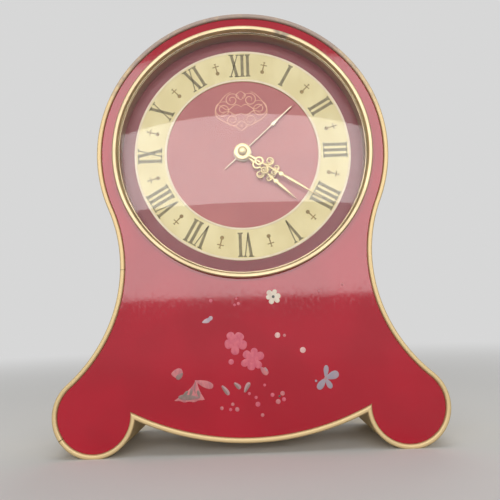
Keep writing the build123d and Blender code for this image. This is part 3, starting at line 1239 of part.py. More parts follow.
def alarm_stop():
    """Button behind the cover with a plate inside it, which slides up to hold the alarm back."""
    plate_back = COVER_FACE - END_PLAY
    button_face = CASE_DEPTH + END_PLAY
    plate_shape = Rectangle(STOP_PLATE_WIDTH, STOP_PLATE_HEIGHT)
    button = RectangleRounded(STOP_BUTTON_WIDTH, STOP_BUTTON_HEIGHT, STOP_BUTTON_WIDTH / 4)
    body = slab(plate_shape, plate_back - STOP_PLATE_THICK, plate_back, STOP_AT)
    body = body + slab(Rectangle(STOP_STEM, STOP_STEM), plate_back, button_face, STOP_AT)
    return body + slab(button, button_face, button_face + STOP_BUTTON_THICK, STOP_AT)


def pieces():
    """Every piece of the clock by its node's name."""
    return {
        "case_band": case_band(),
        "front_panel": front_panel(),
        "back_cover": back_cover(),
        "cover_posts": cover_posts(),
        "cover_screws": cover_screws(),
        "bezel": bezel(),
        "crystal": crystal(),
        "dial_plate": dial_plate(),
        "chapter_ring": chapter_ring(),
        "hour_hand": hour_hand(),
        "minute_hand": minute_hand(),
        "alarm_hand": alarm_hand(),
        "hand_cap": hand_cap(),
        "cannon_pinion": cannon_pinion(),
        "minute_wheel": minute_wheel(),
        "minute_wheel_stud": minute_wheel_stud(),
        "hour_wheel": hour_wheel(),
        "alarm_wheel": alarm_wheel(),
        "set_arbor": set_arbor(),
        "set_knob": knob(SET_AT),
        "alarm_set_arbor": alarm_set_arbor(),
        "alarm_set_knob": knob(ALARM_SET_AT),
        "front_plate": front_plate(),
        "rear_plate": rear_plate(),
        "plate_pillars": plate_pillars(),
        "pillar_screws": pillar_screws(),
        "movement_ring": movement_ring(),
        "ring_screws": ring_screws(),
        "time_barrel": barrel(TIME_BARREL_AT, TIME_BARREL_PHASE),
        "time_barrel_lid": barrel_lid(TIME_BARREL_AT),
        "time_mainspring": mainspring(TIME_BARREL_AT),
        "time_barrel_arbor": barrel_arbor(TIME_BARREL_AT),
        "time_ratchet_wheel": ratchet_wheel(TIME_BARREL_AT),
        "time_click": click(TIME_CLICK_AT, TIME_CLICK_ANGLE),
        "time_winding_key": winding_key(TIME_BARREL_AT),
        "centre_wheel": centre_wheel(),
        "third_wheel": third_wheel(),
        "fourth_wheel": fourth_wheel(),
        "escape_wheel": escape_wheel(),
        "pallet_lever": pallet_lever(),
        "balance_wheel": balance_wheel(),
        "hairspring": hairspring(),
        "balance_cock": balance_cock(),
        "cock_screws": cock_screws(),
        "regulator": regulator(),
        "alarm_barrel": barrel(ALARM_BARREL_AT, ALARM_BARREL_PHASE),
        "alarm_barrel_lid": barrel_lid(ALARM_BARREL_AT),
        "alarm_mainspring": mainspring(ALARM_BARREL_AT),
        "alarm_barrel_arbor": barrel_arbor(ALARM_BARREL_AT),
        "alarm_ratchet_wheel": ratchet_wheel(ALARM_BARREL_AT),
        "alarm_click": click(ALARM_CLICK_AT, ALARM_CLICK_ANGLE),
        "alarm_winding_key": winding_key(ALARM_BARREL_AT),
        "alarm_second_wheel": alarm_second_wheel(),
        "alarm_escape_wheel": alarm_escape_wheel(),
        "alarm_hammer": alarm_hammer(),
        "gong_post": gong_post(),
        "alarm_stop": alarm_stop(),
    }


def main():
    """Write each piece to its own file."""
    os.makedirs("parts", exist_ok=True)
    for name, piece in pieces().items():
        export_step(piece, f"parts/{name}.step")


if __name__ == "__main__":
    main()
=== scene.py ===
"""Dresses a pendulette: a small free-standing alarm clock in a waisted gilt and lacquered case."""

import json
import logging
import math
from collections.abc import Callable, Sequence
from dataclasses import dataclass, field
from enum import Enum

import bmesh
import bpy
from mathutils import Matrix, Vector


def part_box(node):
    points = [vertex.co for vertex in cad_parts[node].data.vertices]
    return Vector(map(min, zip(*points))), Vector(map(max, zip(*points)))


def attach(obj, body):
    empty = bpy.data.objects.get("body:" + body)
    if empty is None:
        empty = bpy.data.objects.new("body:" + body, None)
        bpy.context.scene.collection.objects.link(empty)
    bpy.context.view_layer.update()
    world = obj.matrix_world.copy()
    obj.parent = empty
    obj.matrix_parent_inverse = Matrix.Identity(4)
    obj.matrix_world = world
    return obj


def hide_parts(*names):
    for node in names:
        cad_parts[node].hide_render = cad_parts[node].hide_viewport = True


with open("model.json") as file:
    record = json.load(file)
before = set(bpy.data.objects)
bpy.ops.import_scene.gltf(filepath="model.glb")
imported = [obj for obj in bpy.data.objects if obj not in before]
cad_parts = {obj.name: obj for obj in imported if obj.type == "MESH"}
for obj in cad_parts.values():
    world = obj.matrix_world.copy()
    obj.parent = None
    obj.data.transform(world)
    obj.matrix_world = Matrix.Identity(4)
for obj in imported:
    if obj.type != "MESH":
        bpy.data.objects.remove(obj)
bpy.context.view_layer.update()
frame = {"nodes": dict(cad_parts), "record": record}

Pair = tuple[float, float]
Triple = tuple[float, float, float]
Socket = bpy.types.NodeSocket
log = logging.getLogger("pendulette")

MM = 0.001
FRONT_Y = -20.2  # the rim's front edge; depths are counted backwards from it
PANEL_FACE = 0.6  # depth of the panel's front
DIAL_FACE = 4.2  # depth of the dial's front
CASE_DEPTH = 34.0  # depth of the back cover's face
DIAL_HEIGHT = 79.4
DIAL_CENTRE = (0.0, DIAL_HEIGHT)
RING_STEPS = 192  # runs in one turn of a large ring
PILLOW = ((1.0, 0.0), (0.97, 0.45), (0.84, 0.78), (0.5, 0.96))  # shares of its outline and of its rise
MADE: dict[str, bpy.types.Material] = {}  # finishes that are ready, by name


class Lie(Enum):
    """How a flat plate lies in the clock."""

    FACING = "towards the viewer"
    LEVEL = "like a shelf"


class Side(Enum):
    """Left or right of the middle plane, seen from the front."""

    LEFT = -1
    RIGHT = 1


def polar(start: Pair, distance: float, degrees: float) -> Pair:
    """Walks from a point in a direction.

    Args:
        start: Where the walk begins.
        distance: How far it goes.
        degrees: Its direction, anticlockwise from the right.

    Returns:
        The point that is reached.
    """
    angle = math.radians(degrees)
    return start[0] + distance * math.cos(angle), start[1] + distance * math.sin(angle)


def evenly(first: float, last: float, steps: int) -> list[float]:
    """Evenly spaced values, both ends included: one more than there are steps."""
    return [first + (last - first) * i / steps for i in range(steps + 1)]


def spiral(centre: Pair, radii: Pair, angles: Pair, steps: int) -> list[Pair]:
    """Points along a curve that winds in or out, both ends included.

    Args:
        centre: What it winds about.
        radii: Its first and its last radius.
        angles: Angles of its first and its last point in degrees.
        steps: How many runs it is divided into.

    Returns:
        One more point than there are steps.
    """
    both = zip(evenly(*radii, steps), evenly(*angles, steps))
    return [polar(centre, radius, angle) for radius, angle in both]


def arc(centre: Pair, radius: float, start: float, end: float, steps: int) -> list[Pair]:
    """Points along an arc, both ends included.

    Args:
        centre: The arc's centre.
        radius: The arc's radius.
        start: Angle of the first point in degrees.
        end: Angle of the last point in degrees.
        steps: How many runs the arc is divided into.

    Returns:
        One more point than there are steps.
    """
    return spiral(centre, (radius, radius), (start, end), steps)


def circle(centre: Pair, radius: float, steps: int = 96) -> list[Pair]:
    """Points round a full circle, without the first one again at the end."""
    return arc(centre, radius, 0, 360, steps)[:-1]


def half_round(middle: float, half: float, base: float, rise: float) -> list[Pair]:
    """Profile of a half-round bead for the lathe.

    Args:
        middle: Radius at its middle.
        half: Half its width; a negative one draws it from its inner side outwards.
        base: Depth of its foot.
        rise: How far it stands out.

    Returns:
        Points (radius, depth).
    """
    turns = [math.radians(a) for a in range(0, 181, 20)]
    return [(middle + half * math.cos(t), base - rise * math.sin(t)) for t in turns]


def bearing(start: Pair, end: Pair) -> float:
    """Direction from one point to another, in degrees."""
    return math.degrees(math.atan2(end[1] - start[1], end[0] - start[0]))


def placed(points: Sequence[Pair], place: Pair, degrees: float = 0.0) -> list[Pair]:
    """Turns a drawing about its origin and moves it.

    Args:
        points: The drawing.
        place: Where its origin goes.
        degrees: How far it turns, anticlockwise.

    Returns:
        The drawing in its new place.
    """
    c, s = math.cos(math.radians(degrees)), math.sin(math.radians(degrees))
    return [(place[0] + c * u - s * v, place[1] + s * u + c * v) for u, v in points]


def place_of(node: str) -> Pair:
    """Middle of a CAD node in the front view, in millimetres."""
    low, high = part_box(node)
    return (low.x + high.x) / 2 / MM, (low.z + high.z) / 2 / MM


class Sketch:
    """Gathers one piece's faces in millimetres, as points (x, depth, z)."""

    def __init__(self) -> None:
        """Starts with nothing drawn."""
        self.points: list[Triple] = []
        self.faces: list[list[int]] = []

    def add(self, points: Sequence[Triple]) -> list[int]:
        """Keeps new points.

        Args:
            points: The points (x, depth, z).

        Returns:
            Their numbers.
        """
        first = len(self.points)
        self.points.extend(points)
        return list(range(first, len(self.points)))

    def skin(self, rows: Sequence[Sequence[int]], closed: bool = False) -> None:
        """Joins neighbouring rows of points into a surface; a row of one point is a tip.

        Args:
            rows: Loops of point numbers, all of one length or of one point.
            closed: Whether the last row joins the first.
        """
        following = list(rows[1:]) + ([rows[0]] if closed else [])
        for one, two in zip(rows, following):
            count = max(len(one), len(two))
            for i in range(count):
                j = (i + 1) % count
                ring = [one[i % len(one)], one[j % len(one)], two[j % len(two)], two[i % len(two)]]
                self.faces.append(list(dict.fromkeys(ring)))

    def lathe(self, profile: Sequence[Pair], place: Pair, steps: int, closed: bool = False) -> None:
        """Turns a profile about an axis that points at the viewer.

        Args:
            profile: Points (radius, depth); a radius of 0 is a tip on the axis.
            place: Where the axis stands in the front view.
            steps: How many runs one turn has.
            closed: Whether the profile is a ring that closes on itself.
        """
        rows = []
        for radius, depth in profile:
            around = circle(place, radius, steps) if radius > 0 else [place]
            rows.append(self.add([(x, depth, z) for x, z in around]))
        self.skin(rows, closed)

    def prism(self, outline: Sequence[Pair], front: float, back: float) -> None:
        """Gives an outline a front, a back and walls.

        Args:
            outline: The outline in the front view.
            front: Depth of its front face.
            back: Depth of its back face.
        """
        near = self.add([(x, front, z) for x, z in outline])
        far = self.add([(x, back, z) for x, z in outline])
        self.skin([near, far])
        self.faces += [near, far]

    def dome(self, outline: Sequence[Pair], base: float, rise: float) -> None:
        """Raises a low pillow on a flat face.

        Args:
            outline: The pillow's outline in the front view.
            base: Depth of the face under it.
            rise: How far its middle stands out.
        """
        middle_x = sum(x for x, _ in outline) / len(outline)
        middle_z = sum(z for _, z in outline) / len(outline)
        rows = []
        for share, lift in PILLOW:
            rows.append(self.add([(middle_x + (x - middle_x) * share, base - rise * lift,
                                   middle_z + (z - middle_z) * share) for x, z in outline]))
        self.skin(rows + [self.add([(middle_x, base - rise, middle_z)])])
        self.faces.append(rows[0])

    def ribbon(self, path: Sequence[Pair], width: float | Sequence[float], base: float, rise: float,
               closed: bool = False, across: int = 8) -> None:
        """Lays a strip with a rounded back along a path on a flat face.

        Args:
            path: Points of its middle line in the front view.
            width: Its width, one for all points or one for each.
            base: Depth of the face under it.
            rise: How far its middle stands out.
            closed: Whether the path closes on itself.
            across: How many runs its rounded back has.
        """
        rows = []
        last = len(path) - 1
        for i, (x, z) in enumerate(path):
            before = path[i - 1] if closed or i else path[0]
            after = path[(i + 1) % len(path)] if closed or i < last else path[last]
            length = math.dist(before, after)
            side = ((before[1] - after[1]) / length, (after[0] - before[0]) / length)
            half = (width if isinstance(width, (int, float)) else width[i]) / 2
            row = []
            for k in range(across + 1):
                turn = math.pi * k / across
                out = half * math.cos(turn)
                row.append((x + side[0] * out, base - rise * math.sin(turn), z + side[1] * out))
            rows.append(self.add(row))
        self.skin(rows, closed)
        if not closed:
            self.faces += [rows[0], rows[-1]]

    def plate(self, outlines: Sequence[Sequence[Pair]], front: float, back: float, edge: float,
              lie: Lie = Lie.FACING) -> None:
        """Fills an outline, leaves its inner outlines open and rounds its edges.

        Args:
            outlines: The outer outline and those of its holes.
            front: Depth of its front, or height of its underside if it lies level.
            back: Depth of its back, or height of its top if it lies level.
            edge: Radius of its rounded edges.
            lie: Whether it faces the viewer or lies level.
        """
        curve = bpy.data.curves.new("plate", "CURVE")
        curve.dimensions = "2D"
        curve.fill_mode = "BOTH"
        curve.extrude = (back - front) / 2 - edge
        curve.bevel_depth = edge
        curve.bevel_resolution = 2
        curve.offset = -edge
        for outline in outlines:
            spline = curve.splines.new("POLY")
            spline.points.add(len(outline) - 1)
            for point, (u, v) in zip(spline.points, outline):
                point.co = (u, v, 0, 1)
            spline.use_cyclic_u = True
        holder = bpy.data.objects.new("plate", curve)
        mesh = bpy.data.meshes.new_from_object(holder)
        middle = (front + back) / 2
        level = lie is Lie.LEVEL
        numbers = self.add([(u, v, middle + w) if level else (u, middle + w, v) for u, v, w in
                            (vertex.co for vertex in mesh.vertices)])
        self.faces += [[numbers[i] for i in face.vertices] for face in mesh.polygons]
        bpy.data.objects.remove(holder)
        bpy.data.curves.remove(curve)
        bpy.data.meshes.remove(mesh)

    def piece(self, name: str, finish: "Finish", body: str, stands_for: Sequence[str] = (),
              slot: str | None = None, crease: float = 35.0) -> bpy.types.Object:
        """Makes the Blender object, dresses it and lets it ride on its body.

        Args:
            name: The piece's name.
            finish: What its surface is made of.
            body: The CAD body that it moves with.
            stands_for: The CAD nodes that it replaces.
            slot: The record's material slot that its finish belongs to; not used.
            crease: Edges that bend more than this many degrees stay sharp.

        Returns:
            The new object.
        """
        mesh = bpy.data.meshes.new(name)
        world = [(x * MM, (FRONT_Y + depth) * MM, z * MM) for x, depth, z in self.points]
        mesh.from_pydata(world, [], self.faces)
        work = bmesh.new()
        work.from_mesh(mesh)
        bmesh.ops.remove_doubles(work, verts=work.verts, dist=1e-7)
        bmesh.ops.recalc_face_normals(work, faces=work.faces)
        work.to_mesh(mesh)
        work.free()
        mesh.shade_smooth()
        mesh.set_sharp_from_angle(angle=math.radians(crease))
        mesh.materials.append(finish.material())
        made = bpy.data.objects.new(name, mesh)
        bpy.context.scene.collection.objects.link(made)
        weights = made.modifiers.new("even_shading", "WEIGHTED_NORMAL")
        weights.keep_sharp = True
        if stands_for:
            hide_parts(*stands_for)
        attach(made, body)
        log.info("%s rides on %s", name, body)
        return made


class Graph:
    """Adds nodes to one material, with all lengths in millimetres."""

    def __init__(self, name: str) -> None:
        """Starts a material with its shader and its place on the piece.

        Args:
            name: The material's name.
        """
        self.material = bpy.data.materials.new(name)
        self.material.use_nodes = True
        self.nodes = self.material.node_tree.nodes
        self.shader = self.nodes["Principled BSDF"]
        spot = self.nodes.new("ShaderNodeTexCoord")
        scale = self.nodes.new("ShaderNodeVectorMath")
        scale.operation = "SCALE"
        scale.inputs["Scale"].default_value = 1 / MM
        self.link(spot.outputs["Object"], scale.inputs[0])
        self.spot = scale.outputs[0]

    def link(self, output: Socket, entry: Socket) -> None:
        """Joins an output to an input."""
        self.material.node_tree.links.new(output, entry)

    def set(self, **values: float | Triple | Socket) -> None:
        """Sets or links sockets of the shader, named with underscores for spaces."""
        for name, value in values.items():
            self.feed(self.shader.inputs[name.replace("_", " ")], value)

    def feed(self, entry: Socket, value: float | Triple | Socket) -> None:
        """Links a socket to an input, or sets it to a number or colour.

        Args:
            entry: The input.
            value: What it gets.
        """
        if isinstance(value, Socket):
            self.link(value, entry)
        elif isinstance(value, tuple):
            entry.default_value = (*value, 1.0) if len(entry.default_value) == 4 else value
        else:
            entry.default_value = value

    def vector(self, operation: str, other: Sequence[float]) -> bpy.types.Node:
        """Reckons with the place on the piece and another vector.

        Args:
            operation: The name of one of Blender's vector operations.
            other: The other vector.

        Returns:
            The new node.
        """
        node = self.nodes.new("ShaderNodeVectorMath")
        node.operation = operation
        self.link(self.spot, node.inputs[0])
        node.inputs[1].default_value = other
        return node

    def noise(self, size: float, detail: float = 3.0, stretch: Triple = (1, 1, 1)) -> Socket:
        """Soft random spots.

        Args:
            size: About how wide a spot is.
            detail: How many finer layers are added.
            stretch: How much longer the spots are along each axis.

        Returns:
            A value round 0.5.
        """
        squeeze = self.vector("DIVIDE", [size * s for s in stretch])
        node = self.nodes.new("ShaderNodeTexNoise")
        node.inputs["Scale"].default_value = 1.0
        node.inputs["Detail"].default_value = detail
        self.link(squeeze.outputs[0], node.inputs["Vector"])
        return node.outputs["Fac"]

    def between(self, value: Socket, low: float, high: float,
                start: float = 0.0, end: float = 1.0) -> Socket:
        """Maps a value smoothly from one range to another.

        Args:
            value: What is mapped.
            low: Value that becomes start.
            high: Value that becomes end.
            start: First end of the new range.
            end: Other end of the new range.

        Returns:
            The mapped value.
        """
        node = self.nodes.new("ShaderNodeMapRange")
        node.interpolation_type = "SMOOTHSTEP"
        self.link(value, node.inputs["Value"])
        for name, number in (("From Min", low), ("From Max", high), ("To Min", start), ("To Max", end)):
            node.inputs[name].default_value = number
        return node.outputs["Result"]

    def distance(self, point: Triple) -> Socket:
        """Distance from a point (x, depth, z)."""
        return self.vector("DISTANCE", (point[0], FRONT_Y + point[1], point[2])).outputs["Value"]

    def near(self, point: Triple, radius: float) -> Socket:
        """1 at a point (x, depth, z) and 0 from a distance on."""
        return self.between(self.distance(point), radius, radius * 0.3)

    def along(self, direction: Triple) -> Socket:
        """Distance along a direction, from the origin."""
        return self.vector("DOT_PRODUCT", direction).outputs["Value"]

    def reckon(self, operation: str, first: Socket | float, second: Socket | float = 0.0) -> Socket:
        """Reckons with one or two values.

        Args:
            operation: The name of one of Blender's operations.
            first: The first value.
            second: The second value, where the operation has one.

        Returns:
            The result.
        """
        node = self.nodes.new("ShaderNodeMath")
        node.operation = operation
        self.feed(node.inputs[0], first)
        self.feed(node.inputs[1], second)
        return node.outputs["Value"]

    def mix(self, share: Socket, first: Triple | Socket, second: Triple | Socket) -> Socket:
        """Mixes two colours.

        Args:
            share: How much of the second one shows.
            first: The first colour.
            second: The second colour.

        Returns:
            The mixed colour.
        """
        node = self.nodes.new("ShaderNodeMix")
        node.data_type = "RGBA"
        self.link(share, node.inputs["Factor"])
        self.feed(node.inputs[6], first)
        self.feed(node.inputs[7], second)
        return node.outputs[2]

    def bump(self, height: Socket, depth: float) -> None:
        """Roughens the surface.

        Args:
            height: Its height, from 0 to 1.
            depth: How many millimetres a height of 1 is.
        """
        node = self.nodes.new("ShaderNodeBump")
        node.inputs["Strength"].default_value = 1.0
        node.inputs["Distance"].default_value = depth * MM
        self.link(height, node.inputs["Height"])
        self.link(node.outputs["Normal"], self.shader.inputs["Normal"])


@dataclass(frozen=True)
class Finish:
    """What a surface is made of. Its material is made once."""

    name: str

    def material(self) -> bpy.types.Material:
        """Makes the finish's material on first use.

        Returns:
            The material.
        """
        if self.name not in MADE:
            graph = Graph(self.name)
            self.dress(graph)
            MADE[self.name] = graph.material
        return MADE[self.name]

    def dress(self, graph: Graph) -> None:
        """Adds the finish's own nodes."""
        raise NotImplementedError


@dataclass(frozen=True)
class Worn:
    """A place where gilding is rubbed off."""

    point: Triple
    radius: float


@dataclass(frozen=True)
class Seam:
    """A fine dark line across a rim, where its metal was joined."""

    point: Triple
    along: Triple
    half_width: float = 0.11
    blur: float = 0.05
    reach: float = 5.0


@dataclass(frozen=True)
class Metal(Finish):
    """Metal with faint clouds, fine scratches along its grain, worn places and seams."""

    colour: Triple
    shade: Triple
    rough: Pair
    grain: Triple = (1, 1, 1)
    grain_size: float = 0.25
    grain_depth: float = 0.004
    cloud_size: float = 9.0
    cloud_range: Pair = (0.3, 0.7)
    rough_range: Pair = (0.35, 0.65)
    worn: tuple[Worn, ...] = ()
    worn_colour: Triple = (0.30, 0.25, 0.19)
    worn_rough: float = 0.2
    worn_range: Pair = (0.03, 0.55)
    patch_size: float = 1.6
    edge_colour: Triple | None = None
    edge_rough: float = 0.58
    edge_depth: float = 0.9
    seams: tuple[Seam, ...] = ()
    seam_colour: Triple = (0.09, 0.06, 0.03)

    def dress(self, graph: Graph) -> None:
        """Adds clouds, scratches, worn places and seams.

        Args:
            graph: The material's nodes.
        """
        clouds = graph.noise(self.cloud_size, 2.0)
        scratches = graph.noise(self.grain_size, 4.0, self.grain)
        colour = graph.mix(graph.between(clouds, *self.cloud_range), self.colour, self.shade)
        halves = [graph.reckon("MULTIPLY", spots, 0.5) for spots in (clouds, scratches)]
        rough = graph.between(graph.reckon("ADD", *halves), *self.rough_range, *self.rough)
        front = graph.between(graph.along((0, 1, 0)),
                              FRONT_Y + self.edge_depth, FRONT_Y + self.edge_depth / 2)
        if self.edge_colour:
            colour = graph.mix(front, colour, self.edge_colour)
            rough = graph.reckon("MAXIMUM", rough, graph.reckon("MULTIPLY", front, self.edge_rough))
        patches = graph.reckon("MULTIPLY", graph.noise(self.patch_size, 4.0), front)
        for spot in self.worn:
            share = graph.reckon("MULTIPLY", graph.near(spot.point, spot.radius), patches)
            share = graph.between(share, *self.worn_range)
            colour = graph.mix(share, colour, self.worn_colour)
            rough = graph.reckon("ADD", rough, graph.reckon("MULTIPLY", share, self.worn_rough))
        for seam in self.seams:
            place = sum(a * b for a, b in zip(seam.along, seam.point))
            across = graph.reckon("ABSOLUTE", graph.reckon("SUBTRACT", graph.along(seam.along), place))
            line = graph.between(across, seam.half_width + seam.blur, seam.half_width - seam.blur)
            line = graph.reckon("MULTIPLY", line, graph.near(seam.point, seam.reach))
            colour = graph.mix(line, colour, self.seam_colour)
        graph.set(Metallic=1.0, Base_Color=colour, Roughness=rough)
        graph.bump(scratches, self.grain_depth)


@dataclass(frozen=True)
class Lacquer(Finish):
    """Deep glossy lacquer with a faint orange peel and fine scuffs."""

    colour: Triple
    shade: Triple
    shine: float
    rough: Pair = (0.05, 0.13)
    # painted shade of the bezel: a darker colour beyond a distance from the dial's middle, blended in over a
    # short width
    painted_bezel_shade: Triple | None = None
    middle: Triple = (0.0, DIAL_FACE, DIAL_HEIGHT)
    painted_shade_from: float = 29.8
    painted_shade_blend: float = 0.4
    cloud_size: float = 18.0
    cloud_range: Pair = (0.35, 0.65)
    scuff_size: float = 0.7
    scuff_stretch: Triple = (1, 1, 2.2)
    scuff_range: Pair = (0.45, 0.75)
    peel_size: float = 1.4
    peel_depth: float = 0.0025

    def dress(self, graph: Graph) -> None:
        """Adds slow clouds of colour, painted shade of the bezel towards the dial's edge where asked, scuffs
        and orange peel.

        Args:
            graph: The material's nodes.
        """
        clouds = graph.noise(self.cloud_size, 2.0)
        scuffs = graph.noise(self.scuff_size, 5.0, self.scuff_stretch)
        colour = graph.mix(graph.between(clouds, *self.cloud_range), self.colour, self.shade)
        # painted shade: past a radius from the dial's middle the colour darkens, standing for the bezel's
        # shadow on the dial's edge
        if self.painted_bezel_shade:
            painted_shade_full = self.painted_shade_from + self.painted_shade_blend
            outside = graph.between(graph.distance(self.middle), self.painted_shade_from, painted_shade_full)
            colour = graph.mix(outside, colour, self.painted_bezel_shade)
        graph.set(Base_Color=colour,
                  Roughness=graph.between(scuffs, *self.scuff_range, *self.rough),
                  Specular_IOR_Level=self.shine)
        graph.bump(graph.noise(self.peel_size, 1.0), self.peel_depth)


@dataclass(frozen=True)
class Paint(Finish):
    """Thin paint laid on by brush, with a second tint worked into it."""

    colour: Triple
    tint: Triple
    rough: float = 0.4
    spot: float = 0.9
    spot_stretch: Triple = (1, 1, 1.8)
    tint_range: Pair = (0.38, 0.64)
    rough_range: Pair = (0.3, 0.7)
    grain: float = 0.012
    grain_size: float = 0.35

    def dress(self, graph: Graph) -> None:
        """Adds brush clouds and fine grain.

        Args:
            graph: The material's nodes.
        """
        brush = graph.noise(self.spot, 4.0, self.spot_stretch)
        graph.set(Base_Color=graph.mix(graph.between(brush, *self.tint_range), self.colour, self.tint),
                  Roughness=graph.between(brush, *self.rough_range, self.rough - 0.08, self.rough + 0.1))
        graph.bump(graph.noise(self.grain_size), self.grain)


@dataclass(frozen=True)
class Glass(Finish):
    """Clear domed glass with faint wiping marks."""

    colour: Triple = (0.985, 0.985, 0.98)
    bending: float = 1.37
    mark_size: float = 2.4
    mark_stretch: Triple = (2.5, 1, 1)
    mark_range: Pair = (0.5, 0.8)
    mark_rough: float = 0.025

    def dress(self, graph: Graph) -> None:
        """Makes it clear, with marks that show only in its gloss.

        Args:
            graph: The material's nodes.
        """
        marks = graph.noise(self.mark_size, 4.0, self.mark_stretch)
        graph.set(Base_Color=self.colour, Transmission_Weight=1.0, IOR=self.bending,
                  Roughness=graph.between(marks, *self.mark_range, 0.0, self.mark_rough))


def seen_directly(tree: bpy.types.NodeTree) -> Socket:
    """Finds whether a ray comes from the eye, straight or by gloss or glass.

    Args:
        tree: The nodes to add to.

    Returns:
        One for such a ray, and zero for others.
    """
    path = tree.nodes.new("ShaderNodeLightPath")
    seen = path.outputs["Is Camera Ray"]
    for name in ("Is Glossy Ray", "Is Transmission Ray"):
        either = tree.nodes.new("ShaderNodeMath")
        either.operation = "MAXIMUM"
        tree.links.new(seen, either.inputs[0])
        tree.links.new(path.outputs[name], either.inputs[1])
        seen = either.outputs["Value"]
    return seen


@dataclass(frozen=True)
class Ground(Finish):
    """Plain pale floor that runs into the backdrop."""

    colour: Triple
    shade: Triple
    backdrop: float
    fades_from: float = 140.0
    fades_to: float = 620.0
    mottle_size: float = 60.0

    def dress(self, graph: Graph) -> None:
        """Adds a barely visible mottle, and the backdrop's brightness far from the clock.

        Args:
            graph: The material's nodes.
        """
        far = graph.between(graph.distance((0, 0, 0)), self.fades_from, self.fades_to)
        far = graph.reckon("MULTIPLY", far, seen_directly(graph.material.node_tree))
        near = graph.mix(graph.noise(self.mottle_size), self.colour, self.shade)
        graph.set(Base_Color=graph.mix(far, near, (0.0, 0.0, 0.0)), Emission_Color=(1.0, 1.0, 1.0),
                  Emission_Strength=graph.reckon("MULTIPLY", far, self.backdrop),
                  Roughness=0.9, Specular_IOR_Level=0.0)


BAND_GILT = Metal(
    "band_gilt", (0.60, 0.45, 0.225), (0.585, 0.436, 0.216), rough=(0.53, 0.58), grain=(10, 1, 10),
    worn_colour=(0.46, 0.375, 0.325), worn=(Worn((0, 0, 119), 62),), edge_colour=(0.61, 0.47, 0.255),
    seams=(Seam((-48.6, 0, 4.6), (0.56, 0, -0.83)), Seam((-33.3, 0, 47.6), (0, 0, 1), 0.06)),
)
BEZEL_GILT = Metal(
    "bezel_gilt", (0.49, 0.385, 0.235), (0.45, 0.35, 0.21), rough=(0.36, 0.48),
    worn=(Worn((12.1, -1.2, 112.6), 3.6),),
)
COVER_GILT = Metal("cover_gilt", (0.72, 0.55, 0.28), (0.68, 0.51, 0.255), rough=(0.30, 0.40),
                   grain=(16, 1, 1), grain_size=0.2, grain_depth=0.008)
HAND_GILT = Metal("hand_gilt", (0.68, 0.55, 0.30), (0.57, 0.44, 0.21), rough=(0.40, 0.54), grain_size=0.12)
ALARM_GILT = Metal("alarm_gilt", (0.74, 0.62, 0.48), (0.66, 0.54, 0.40), rough=(0.42, 0.56), grain_size=0.12)
KEY_BRASS = Metal("polished_brass", (0.80, 0.60, 0.29), (0.75, 0.555, 0.255), rough=(0.18, 0.30))
MOVEMENT_BRASS = Metal("plate_brass", (0.78, 0.60, 0.30), (0.73, 0.555, 0.27), rough=(0.24, 0.36))
STEEL = Metal("satin_steel", (0.56, 0.56, 0.58), (0.50, 0.50, 0.53), rough=(0.22, 0.36))
RED_LACQUER = Lacquer("crimson_lacquer", (0.43, 0.0015, 0.018), (0.38, 0.001, 0.015), shine=0.68)
# the dial's darker outer ring is painted shade of the bezel
DIAL_RED = Lacquer("dial_red", (0.42, 0.105, 0.098), (0.37, 0.085, 0.082), rough=(0.3, 0.42), shine=0.35,
                   painted_bezel_shade=(0.20, 0.028, 0.036))
CREAM_ENAMEL = Paint("ivory_enamel", (0.76, 0.655, 0.34), (0.71, 0.60, 0.30), rough=0.46, spot=5.0,
                     grain=0.003)
# painted highlight: paler paint for the lines on the hour ring's lips
HIGHLIGHT_CREAM = Paint("painted_highlight_cream", (0.80, 0.68, 0.50), (0.76, 0.63, 0.45), spot=4.0)
HOUR_PRINT = Paint("hour_print", (0.16, 0.124, 0.052), (0.235, 0.19, 0.092), rough=0.55)
MARKER_GOLD = Paint("marker_gold", (0.21, 0.132, 0.028), (0.29, 0.185, 0.052), rough=0.5)
FLOURISH_GOLD = Paint("flourish_gold", (0.72, 0.40, 0.27), (0.64, 0.32, 0.21))
STAMPED_BROWN = Paint("stamped_brown", (0.16, 0.10, 0.05), (0.24, 0.15, 0.07), rough=0.5)


class Tone(Enum):
    """Paints of the flowers on the panel."""

    WHITE = Paint("petal_white", (0.74, 0.66, 0.53), (0.68, 0.56, 0.46))
    BLUSH = Paint("petal_blush", (0.74, 0.47, 0.42), (0.66, 0.37, 0.35))
    PINK = Paint("petal_pink", (0.62, 0.125, 0.165), (0.54, 0.085, 0.135))
    ROSE = Paint("petal_rose", (0.58, 0.18, 0.185), (0.45, 0.13, 0.15))
    BLUE = Paint("petal_blue", (0.30, 0.26, 0.31), (0.36, 0.27, 0.31))
    PALE = Paint("petal_pale", (0.50, 0.38, 0.41), (0.41, 0.32, 0.38))
    LEAF = Paint("leaf_pink", (0.48, 0.27, 0.27), (0.40, 0.22, 0.235))
    SHADE = Paint("leaf_grey", (0.21, 0.15, 0.125), (0.30, 0.16, 0.155))
    DARK = Paint("flower_eye", (0.06, 0.07, 0.06), (0.12, 0.10, 0.09))


